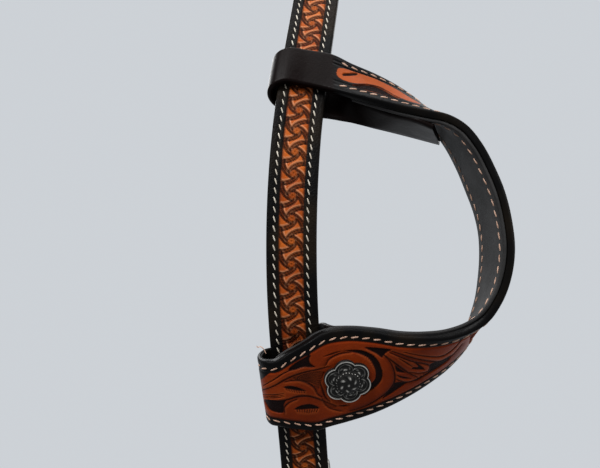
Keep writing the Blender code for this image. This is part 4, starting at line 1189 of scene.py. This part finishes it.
CUTS = [
    ([(262.7, 390), (268.4, 388.6), (276, 385.4), (283.7, 381), (293.3, 376.5), (304.5, 372.9),
      (318.8, 369.6), (328, 367)], 1, 1),
    ([(263, 386), (273, 380.5), (284, 373.5), (291, 370.8)], 0.55, 0),
    ([(284.8, 382.5), (291.2, 381.2), (300.4, 381.1), (308.6, 383.8), (314.7, 388.5), (317.8, 394.5),
      (322, 397.5)], 0.95, -1),
    ([(265.2, 400), (274, 401.2), (280.5, 401.2), (288.2, 400), (295.3, 397.7), (302.4, 396.6),
      (310.6, 397.1), (320.8, 400.2), (329, 403.6), (336.5, 406.2)], 1.05, 1),
    ([(319.8, 381), (322.4, 389), (325.4, 397.1), (330, 402)], 0.9, 1),
    ([(384, 355.5), (390.2, 362.5), (393.5, 369.6), (394.9, 376.5), (394, 383.2), (390, 389.6),
      (384, 395.2), (374.9, 401.4), (363, 407.4), (350, 411.4)], 1, 1),
    ([(326, 366), (329, 360), (336, 355.5), (343.5, 353.5), (351.4, 352.8)], 0.8, -1),
    ([(384, 355.3), (392.2, 361.6), (400.4, 367.8), (409.6, 373.9), (417, 377.2)], 0.95, 1),
    ([(390.2, 353.3), (402.4, 358.6), (412.7, 362.1), (422.9, 364), (428.4, 365.4), (430, 368),
      (427.4, 372), (419, 373.6), (410, 372.6)], 0.85, -1),
    ([(392.2, 351.6), (407.6, 356.8), (422.9, 360.6), (440, 361.9), (452, 356), (462.5, 344)],
     0.85, 1),
    ([(404, 352.6), (422, 356.2), (440, 357), (452, 350.5), (463, 338.5)], 0.65, 0),
    ([(396.3, 379.2), (401.4, 381.6), (407.5, 382.6), (414, 380.8), (423, 376.4)], 0.75, 1),
    ([(285, 413), (284.4, 408), (289, 403.2), (297, 399.9)], 0.8, -1),
    ([(322, 399), (329, 408), (341, 411.6)], 0.6, -1),
    ([(330, 372), (326.6, 376.5), (327, 383)], 0.8, 0),
    ([(399, 358.8), (407, 363.6), (412, 366.8)], 0.5, 0),
]
HATCHES = [
    ([(293, 378), (305, 374.3), (321, 370.8)], [(296, 380.6), (309, 382.6), (320.5, 387)], 7),
    ([(262.5, 394), (274, 394.5), (284, 393)], [(262.8, 398.6), (274, 399.2), (284, 397.6)], 3),
    ([(368, 392), (378, 382), (378, 366)], [(372, 388), (380.5, 380), (380, 368)], 3),
]
COMBS = [
    ([(308, 358), (300, 362.5), (293, 368)], [(310, 366), (302, 367.5), (294, 371)], 9),
    ([(286, 389), (295, 390.8), (304, 392.4)], [(288, 391.4), (297, 393.4), (305, 393.6)], 8),
    ([(297, 410), (307, 410.2), (317.5, 409.8)], [(298, 412.6), (307, 413.4), (316, 412.4)], 9),
    ([(368, 349.4), (378, 349.6), (387, 351)], [(373, 352.4), (379.6, 355), (383.4, 356)], 6),
    ([(361, 350.6), (374, 356.6), (382, 371)], [(358, 353.6), (369, 360.4), (376, 372)], 12),
    ([(436, 364.5), (430, 370), (420, 376.5)], [(444, 362.5), (437, 368.5), (424, 376.8)], 6),
]


def ear_edges(rows):
    """World points of the near and the far edge of the ear's outer face."""
    return place(*rows[:, 0:3].T), place(*rows[:, 3:6].T)


def ear_span(rows):
    """Width of the ear piece at each row."""
    near, far = ear_edges(rows)
    return np.linalg.norm(far - near, axis=1)


def ear_grid():
    """Fine rows of the ear piece and the row index at which each run of stations starts."""
    start, loop, wide, end = ear_stations()
    rows, counts = smooth_rows(start + loop + wide + end, EAR_GRID)
    firsts = np.concatenate([[0], np.cumsum(counts)])
    first, last = len(start), len(start) + len(loop) + len(wide) - 1
    marks = {
        "loop": firsts[first], "lining": firsts[first + LINING_FIRST],
        "vine": firsts[first + VINE_FIRST], "vine_end": firsts[first + VINE_LAST],
        "fold": firsts[last], "back": firsts[last + FOLD_STEPS]}
    near, far = (to_photo(edge)[:, 0] for edge in ear_edges(rows))
    marks["turn"] = marks["fold"] + int(np.argmin((near + far)[marks["fold"]:]))
    marks["sewn"] = marks["loop"] + int(np.argmax(near[marks["loop"]:] > PLAIN_END + SEWN_START))
    return rows, marks


def ear_surface(rows, distances):
    """Points and outward normals of the ear's outer surface at distances from the near edge."""
    near, far = ear_edges(rows)
    width = far - near
    normals = [unit(np.cross(np.gradient(edge, axis=0), width)) for edge in (near, far)]
    share = (distances / np.linalg.norm(width, axis=1)[:, None])[..., None]
    middle = rows[:, None, 0:3] * (1 - share) + rows[:, None, 3:6] * share
    normal = unit(normals[0][:, None] * (1 - share) + normals[1][:, None] * share)
    return place(*np.moveaxis(middle, -1, 0)), normal


def edge_columns(span, inset):
    """Distances across the ear, close together at the rounded edges."""
    first = inset + EAR_ROUNDING
    soft = inset + EAR_ROUNDING * (1 - np.sin(np.linspace(math.pi / 2, 0.0, ROUND_STEPS)))[:-1]
    left = np.broadcast_to(soft, (len(span), len(soft)))
    run = first + np.linspace(0.0, 1.0, EAR_COLUMNS)[None, :] * (span[:, None] - 2 * first)
    return np.concatenate([left, run, span[:, None] - left[:, ::-1]], axis=1)


def ply_of_ear(name, rows, depth, thickness, inset, look, marks=None):
    """A ply of the ear piece with rounded edges and a plain back, tooled where it has marks."""
    span = ear_span(rows)
    distances = edge_columns(span, inset)
    points, normals = ear_surface(rows, distances)
    edge = np.minimum(distances, span[:, None] - distances) - inset
    rounding = np.minimum(EAR_ROUNDING, thickness * 0.45)[:, None]
    inner = np.clip(1 - edge / rounding, 0.0, 1.0)
    drop = rounding * (1 - np.sqrt(1 - inner ** 2))
    relief, layers = ear_tooling(points, normals, distances, span, marks) if marks else (0.0, [])
    outer = points + normals * (relief - drop - depth)[..., None]
    back = np.linspace(1.0, 0.0, BACK_COLUMNS)
    back_at = inset + EDGE_DROP + back[None, :] * (span[:, None] - 2 * inset - 2 * EDGE_DROP)
    back_points, back_normals = ear_surface(rows, back_at)
    back_points = back_points - back_normals * (depth + thickness[:, None])[..., None]
    low = (depth + thickness - EDGE_DROP)[:, None]
    far, near = (points[:, at] - normals[:, at] * low for at in (-1, 0))
    rings = np.concatenate([outer, far[:, None], back_points, near[:, None]], axis=1)
    made = new_mesh(name, rings, ring_faces(*rings.shape[:2]), look)
    if layers:
        extra = rings.shape[1] - distances.shape[1]
        paint(made, [np.concatenate([layer, np.repeat(layer[:, :1], extra, axis=1)], axis=1)
                     for layer in layers])
    return made


def photo_carving(points):
    """The carving that the photograph shows, on points of the ear's face."""
    carving = Carving(to_photo(points))
    for outline in (TEARDROP_SLIT, TEARDROP_GROUND, *GROUNDS, *EYES):
        carving.fill(outline)
    for outline in WASHES:
        carving.fill(outline, WASH)
    for curve, width, bevel in CUTS:
        carving.cut(curve, width, bevel)
    for first, second, count in HATCHES:
        carving.hatch(first, second, count)
    for first, second, count in COMBS:
        carving.comb(first, second, count)
    return carving


# Vine on the loop's outer side, in panel half widths; widths of its cuts and its ticks in pixels
VINE_WAVE = 3.1
VINE_SWING = 0.48
VINE_FRAME = 0.93
VINE_STEM = 0.13
VINE_FADE = 0.06
VINE_STEPS = 12
LEAF_START = 0.08
VINE_CUT = 0.8
FRAME_CUT = 0.7
TICK_CUT = 0.5
TICK_ALONG = 6.0
TICK_ACROSS = 7.0
TICK_ENDS = (1.0, 0.7, 0.3)
LEAF_SHARES = [(-0.02, 0.10), (0.20, 0.52), (0.60, 0.80), (1.12, 0.76), (1.50, 0.40), (1.20, 0.10),
               (0.55, -0.02)]
LEAF_EYE_SHARES = [(0.40, 0.30), (0.72, 0.55), (1.06, 0.52), (0.74, 0.38)]
LEAF_SPINE_SHARES = [(0.30, 0.16), (0.70, 0.24), (1.06, 0.32), (1.32, 0.44)]
LEAF_SEED_SHARES = [(1.62, 0.62), (1.78, 0.78), (1.92, 0.62), (1.78, 0.46)]


def vine_carving(along, across, half, length):
    """A running vine of the builder's own, for the side that the photograph doesn't show."""
    scale = half / PIXEL
    carving = Carving(np.stack([along, across], -1) / PIXEL)
    count = max(1, round(length / (VINE_WAVE * half)))
    wave = length / count / half
    marks = np.linspace(0.0, length / half, count * VINE_STEPS + 1)
    stem = np.stack([marks, VINE_SWING * np.sin(marks / wave * math.tau)], -1)
    away, _, _ = near_curve(carving.places, stem * scale)
    ground = ramp(away / scale, VINE_STEM, VINE_STEM + VINE_FADE)
    ground *= 1 - ramp(
        abs(carving.places[:, 1]) / scale, VINE_FRAME - 2 * VINE_FADE, VINE_FRAME - VINE_FADE)
    for shift in (-VINE_STEM, VINE_STEM):
        carving.cut((stem + (0.0, shift)) * scale, VINE_CUT, ends=EVEN)
    for index in range(count * 2):
        sign = 1 if index % 2 else -1
        root = np.array([wave * (index / 2 + LEAF_START), 0.0])
        leaf, eye, spine, seed = (
            (np.array(shares) * (1.0, sign) + root) * scale
            for shares in (LEAF_SHARES, LEAF_EYE_SHARES, LEAF_SPINE_SHARES, LEAF_SEED_SHARES))
        for outline in (leaf, seed):
            ground *= 1 - inside(carving.places, curve_points(outline, 6, True))
            carving.cut(np.concatenate([outline, outline[:1]]), VINE_CUT, ends=EVEN)
        carving.fill(eye)
        carving.cut(spine, VINE_CUT, sign)
        for share in (0.25, 0.5, 0.75):
            start = spine[0] * (1 - share) + spine[-1] * share
            carving.cut([start, start + (TICK_ALONG, sign * TICK_ACROSS)], TICK_CUT, ends=TICK_ENDS)
    carving.sink(slice(None), GROUND_DEPTH * ground, ground)
    for edge in (-VINE_FRAME, VINE_FRAME):
        line = np.array([(0.0, edge), (length / half / 2, edge), (length / half, edge)])
        carving.cut(line * scale, FRAME_CUT, ends=EVEN)
    return carving


def ear_tooling(points, normals, distances, span, marks):
    """Relief and masks of the ear's face."""
    edge = np.minimum(distances, span[:, None] - distances)
    row = np.arange(len(span))[:, None]
    photo = to_photo(points)

    def within(outline):
        return inside(photo.reshape(-1, 2), np.array(outline)).reshape(edge.shape)

    facing = ((np.array(CAMERA_AT) - points) * normals).sum(axis=-1) > 0
    front = (row >= marks["loop"]) & (row < marks["turn"])
    seen = front & facing
    # The wrap's plain brown runs on over the first part of the loop, as far as PLAIN_END
    upper = (row < marks["lining"] * 2) & (photo[..., 0] < PLAIN_END)
    plain = (row < marks["fold"]) & ((row < marks["loop"]) | upper)
    plain = np.where(plain, ramp(-photo[..., 0], -PLAIN_END, PLAIN_FADE - PLAIN_END), 0.0)
    plain[:marks["loop"]] = 1.0
    band = front & (photo[..., 0] < BAND_TIP) & (photo[..., 1] < VIEW_CENTRE[1])
    field = (within(curve_points(TEARDROP, 4, True)) | within(TEARDROP_GROUND)) & facing
    border = 1 - ramp(edge, EAR_BORDER - INK_LONG_FADE, EAR_BORDER + INK_SHORT_FADE)
    border = np.maximum(np.where(band, 1.0 - field, border), within(TOP_GROUND) & seen)
    relief, dark, pale = (layer * seen for layer in photo_carving(points).layers(edge.shape))
    vine = slice(marks["vine"], marks["vine_end"])
    middle = distances[vine] - span[vine, None] / 2
    along = np.broadcast_to(run_along(points[vine].mean(axis=1))[:, None], middle.shape)
    grown = vine_carving(along, middle, np.median(span[vine]) / 2 - EAR_BORDER, along.max())
    for layer, added in zip((relief, dark, pale), grown.layers(middle.shape)):
        layer[vine] += added
    # The teardrop painted lighter with the highlight tan, as a top that faces the light
    pale = np.maximum(pale, TEARDROP_HIGHLIGHT * (band & field))
    ground = 1 - border
    channel = bell(edge, EAR_STITCH_ROW, EAR_CHANNEL_WIDTH)
    bevel = bell(edge, EAR_BORDER, EAR_BEVEL_WIDTH)
    relief = relief * ground - (CHANNEL_DEPTH * channel + BEVEL_DEPTH * bevel) * (1 - plain)
    back = row >= marks["back"]
    border = np.where((row >= marks["turn"]) & ~back, 1.0, border)
    return relief, [border, dark * ground, pale * ground, np.where(back, 1.0, plain)]


def stitch_line(name, rows, distance, depth, look, inner=False):
    """Stitches at equal steps along the ear piece, a distance from one of its edges."""
    at = np.where(distance > 0, distance, ear_span(rows) + distance)[:, None]
    points, normals = (table[:, 0] for table in ear_surface(rows, at))
    points = points - normals * depth
    run = run_along(points)
    marks = np.arange(EAR_STITCH / 2, run[-1], EAR_STITCH)
    centres, normal, runs = (
        read_at(marks, run, table) for table in (points, normals, np.gradient(points, axis=0)))
    normal, runs = unit(normal), unit(runs)
    slant = EAR_TILT if (distance > 0) != inner else -EAR_TILT
    runs = unit(runs * math.cos(slant) + np.cross(normal, runs) * math.sin(slant))
    return grains(name, centres, runs, -normal if inner else normal, EAR_GRAIN, look)


# Loose end of thread at the ear piece's lower left, in photo pixels and metres
THREAD_END = [(266, 353.5), (263.5, 349), (260.5, 346.6), (258, 347.4), (256.8, 346.2)]
THREAD_END_RADIUS = 0.00016
THREAD_END_SIDES = 6
THREAD_END_DEPTH_SHARE = 0.7


def thread_end(row, look):
    """The loose end of thread, at the depth of the near edge's point in a row."""
    corner = place(*row[:3])
    depth = corner[1] - CAMERA_AT[1]
    line = np.array([
        (CAMERA_AT[0] + (across - VIEW_CENTRE[0]) * depth / FOCAL_PIXELS, corner[1],
         CAMERA_AT[2] + (VIEW_CENTRE[1] - down) * depth / FOCAL_PIXELS)
        for across, down in curve_points(THREAD_END)])
    turn = circle_angles(THREAD_END_SIDES)
    ring = THREAD_END_RADIUS * np.stack(
        [np.cos(turn), THREAD_END_DEPTH_SHARE * np.sin(turn), np.sin(turn)], -1)
    return new_mesh("thread_end", line[:, None] + ring, ring_faces(len(line), len(turn)), look)


def ear_piece(tooled, lining_look, thread_look):
    """Tooled face, lining and their stitches."""
    rows, marks = ear_grid()
    face = ply_of_ear("tooled_ear", rows, 0.0, rows[:, 6], 0.0, tooled, marks)
    inner = rows[marks["lining"]:marks["fold"]]
    thickness = np.full(len(inner), EAR_LINING_PLY)
    lining = ply_of_ear("ear_lining_skin", inner, EAR_FACE_PLY + LINING_LIFT, thickness, LINING_INSET,
                        lining_look)
    threads = []
    sewn = rows[marks["sewn"]:marks["turn"]]
    stack = EAR_FACE_PLY + EAR_LINING_PLY + LINING_LIFT
    for edge, sign, lining_row in (("near", 1, LINING_NEAR_ROW), ("far", -1, LINING_FAR_ROW)):
        threads += [
            stitch_line(f"ear_stitches_{edge}", sewn, sign * EAR_STITCH_ROW, EAR_STITCH_SINK,
                        thread_look),
            stitch_line(f"lining_stitches_{edge}", inner, sign * lining_row, stack, thread_look, True)]
    return face, lining, [*threads, thread_end(rows[marks["turn"]], thread_look)]


# Surroundings: metres, linear colours, watts
SENSOR_WIDTH = 36.0
CLIP_START = 0.01
FLOOR_LEVEL = -0.56
FLOOR_RADIUS = 0.72
FLOOR_SIDES = 96
FLOOR_COLOUR = (0.14, 0.145, 0.15)
FLOOR_GLOW = (0.4, 0.415, 0.435)
PAPER_COLOUR = (0.61, 0.64, 0.675)
STUDIO_LIGHT = (0.85, 0.88, 0.92)
STUDIO_STRENGTH = 0.18
LAMPS = [("key", (-0.45, -0.7, 0.65), 0.4, 13.0), ("fill", (0.75, -0.65, 0.15), 0.6, 3.8),
         ("top", (0.05, -0.1, 0.8), 0.6, 6.0), ("far_key", (-0.5, 0.85, 0.5), 0.6, 8.0),
         ("far_fill", (0.7, 0.7, 0.2), 0.6, 3.8)]
LAMP_AIM = Vector((0.0, 0.0, -0.15))


def stage_and_light():
    """Camera of the photograph, pale surroundings and floor, soft studio light."""
    scene = bpy.context.scene
    scene.view_settings.view_transform = "Standard"
    camera = new_object("camera", bpy.data.cameras.new("camera"))
    camera.location = CAMERA_AT
    camera.rotation_euler = (math.radians(90.0), 0.0, 0.0)
    camera.data.sensor_width = SENSOR_WIDTH
    camera.data.lens = FOCAL_PIXELS / PHOTO_SIZE[0] * SENSOR_WIDTH
    camera.data.clip_start = CLIP_START
    scene.camera = camera
    nodes = Nodes(bpy.data.materials.new("floor_paper"))
    look = nodes.set(Base_Color=FLOOR_COLOUR, Roughness=0.9, Emission_Color=FLOOR_GLOW,
                     Emission_Strength=nodes.seen())
    turn = circle_angles(FLOOR_SIDES)
    rim = np.stack([FLOOR_RADIUS * np.cos(turn), FLOOR_RADIUS * np.sin(turn),
                    np.full(len(turn), FLOOR_LEVEL)], -1)
    new_mesh("floor", rim, [list(range(len(turn)))], look, False)
    for name, at, size, power in LAMPS:
        lamp = bpy.data.lights.new(name, "AREA")
        lamp.size, lamp.energy = size, power
        light = new_object(name, lamp)
        light.location = at
        light.rotation_euler = (LAMP_AIM - Vector(at)).to_track_quat("-Z", "Y").to_euler()
    nodes = Nodes(bpy.data.worlds.new("studio"))
    light = nodes.tree.nodes["Background"]
    nodes.feed(light.inputs["Color"], STUDIO_LIGHT)
    nodes.feed(light.inputs["Strength"], STUDIO_STRENGTH)
    paper = nodes.add("ShaderNodeBackground", {"Color": PAPER_COLOUR})
    blend = nodes.add("ShaderNodeMixShader", {
        "Fac": nodes.seen(), 1: light.outputs[0], 2: paper.outputs[0]})
    nodes.feed(nodes.tree.nodes["World Output"].inputs["Surface"], blend.outputs[0])
    scene.world = nodes.owner


# Roughness of the plain leathers, and where the strap's rows of stitches start and end, in metres
LINING_ROUGHNESS = 0.5
BACK_ROUGHNESS = 0.4
KEEPER_ROUGHNESS = 0.34
CROWN_UNSEWN = 0.02
CHEEK_UNSEWN = 0.008
TAIL_UNSEWN_SHARE = 0.6


def dress():
    """Make and attach every piece."""
    tooled = tooled_leather("strap_tan", *STRAP_TAN)
    ear_tan = tooled_leather("ear_tan", *EAR_TAN)
    lining_look = plain_leather("charcoal_lining", *CHARCOAL, LINING_ROUGHNESS)
    strap_back = plain_leather("strap_lining", *BACK_BLACK, BACK_ROUGHNESS)
    brown = plain_leather("plain_brown", *KEEPER_BROWN, KEEPER_ROUGHNESS)
    cream = thread("cream_thread", *CREAM_THREAD)
    ear_cream = thread("ear_thread", *EAR_THREAD)
    silver = old_silver()

    face, lining = crown_face(tooled), crown_lining(strap_back)
    punch(crown_holes(), [face, lining])
    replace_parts(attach(face, "strap"), "crown_face")
    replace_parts(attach(lining, "strap"), "crown_lining")
    crown_run = np.arange(CROWN_UNSEWN - CROWN_TIP, CROWN_TIP - CROWN_UNSEWN, STRAP_STITCH)
    cheek_run = np.arange(HEEL_BAR + CHEEK_UNSEWN, BIT_LOOP_AT - BIT_LOOP_NECK, STRAP_STITCH)
    back_run = cheek_run[cheek_run > HEEL_BAR + FOLD_TAIL * TAIL_UNSEWN_SHARE]
    for row_name, row in (("left", LEFT_ROW), ("right", RIGHT_ROW)):
        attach(strap_stitches(f"crown_stitches_{row_name}", crown_run, row, cream), "strap")
        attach(strap_stitches(f"crown_back_stitches_{row_name}", crown_run, row, cream,
                               out=0.0, facing=-1), "strap")
        for side_name, side in SIDES.items():
            front = strap_stitches(f"{side_name}_cheek_stitches_{row_name}", cheek_run, row, cream,
                                   side, -CHEEK_GAP)
            back = strap_stitches(f"{side_name}_cheek_back_stitches_{row_name}", back_run, row, cream,
                                  side, CHEEK_BACK_MID - CHEEK_PLY / 2, -1)
            for made in (front, back):
                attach(made, "strap")
    face, lining, threads = ear_piece(ear_tan, lining_look, ear_cream)
    for made in threads:
        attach(made, "ear_piece")
    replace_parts(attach(face, "ear_piece"), "ear_face")
    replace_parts(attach(lining, "ear_piece"), "ear_lining")
    for prefix, body, (seat, normal), depth in (
            ("ear", "ear_piece", concho_seat(), EAR_STACK),
            ("right_bit", "strap", bit_seat(RIGHT), CHEEK_STACK),
            ("left_bit", "strap", bit_seat(LEFT), CHEEK_STACK)):
        for made, node in ((concho(f"{prefix}_flower", seat, normal, depth, silver), "concho"),
                           (screw(f"{prefix}_slotted_screw", seat, normal, depth, silver), "screw")):
            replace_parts(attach(made, body), f"{prefix}_{node}")
    for side_name, side in SIDES.items():
        made = cheek_face(side_name, side, tooled)
        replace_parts(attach(made, "strap"), f"{side_name}_cheek_face")
        for node, body, look, bevel, slot in (
                ("cheek_lining", "strap", strap_back, LINING_BEVEL, "black_lining"),
                ("fixed_keeper", "strap", brown, KEEPER_BEVEL, "brown_leather"),
                ("sliding_keeper", f"{side_name}_keeper", brown, KEEPER_BEVEL, "brown_leather"),
                ("buckle_frame", "strap", silver, 0.0, "old_silver"),
                ("buckle_tongue", f"{side_name}_tongue", silver, 0.0, "old_silver")):
            made = softened(f"{side_name}_{node}", look, bevel)
            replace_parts(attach(made, body), f"{side_name}_{node}")


stage_and_light()
dress()
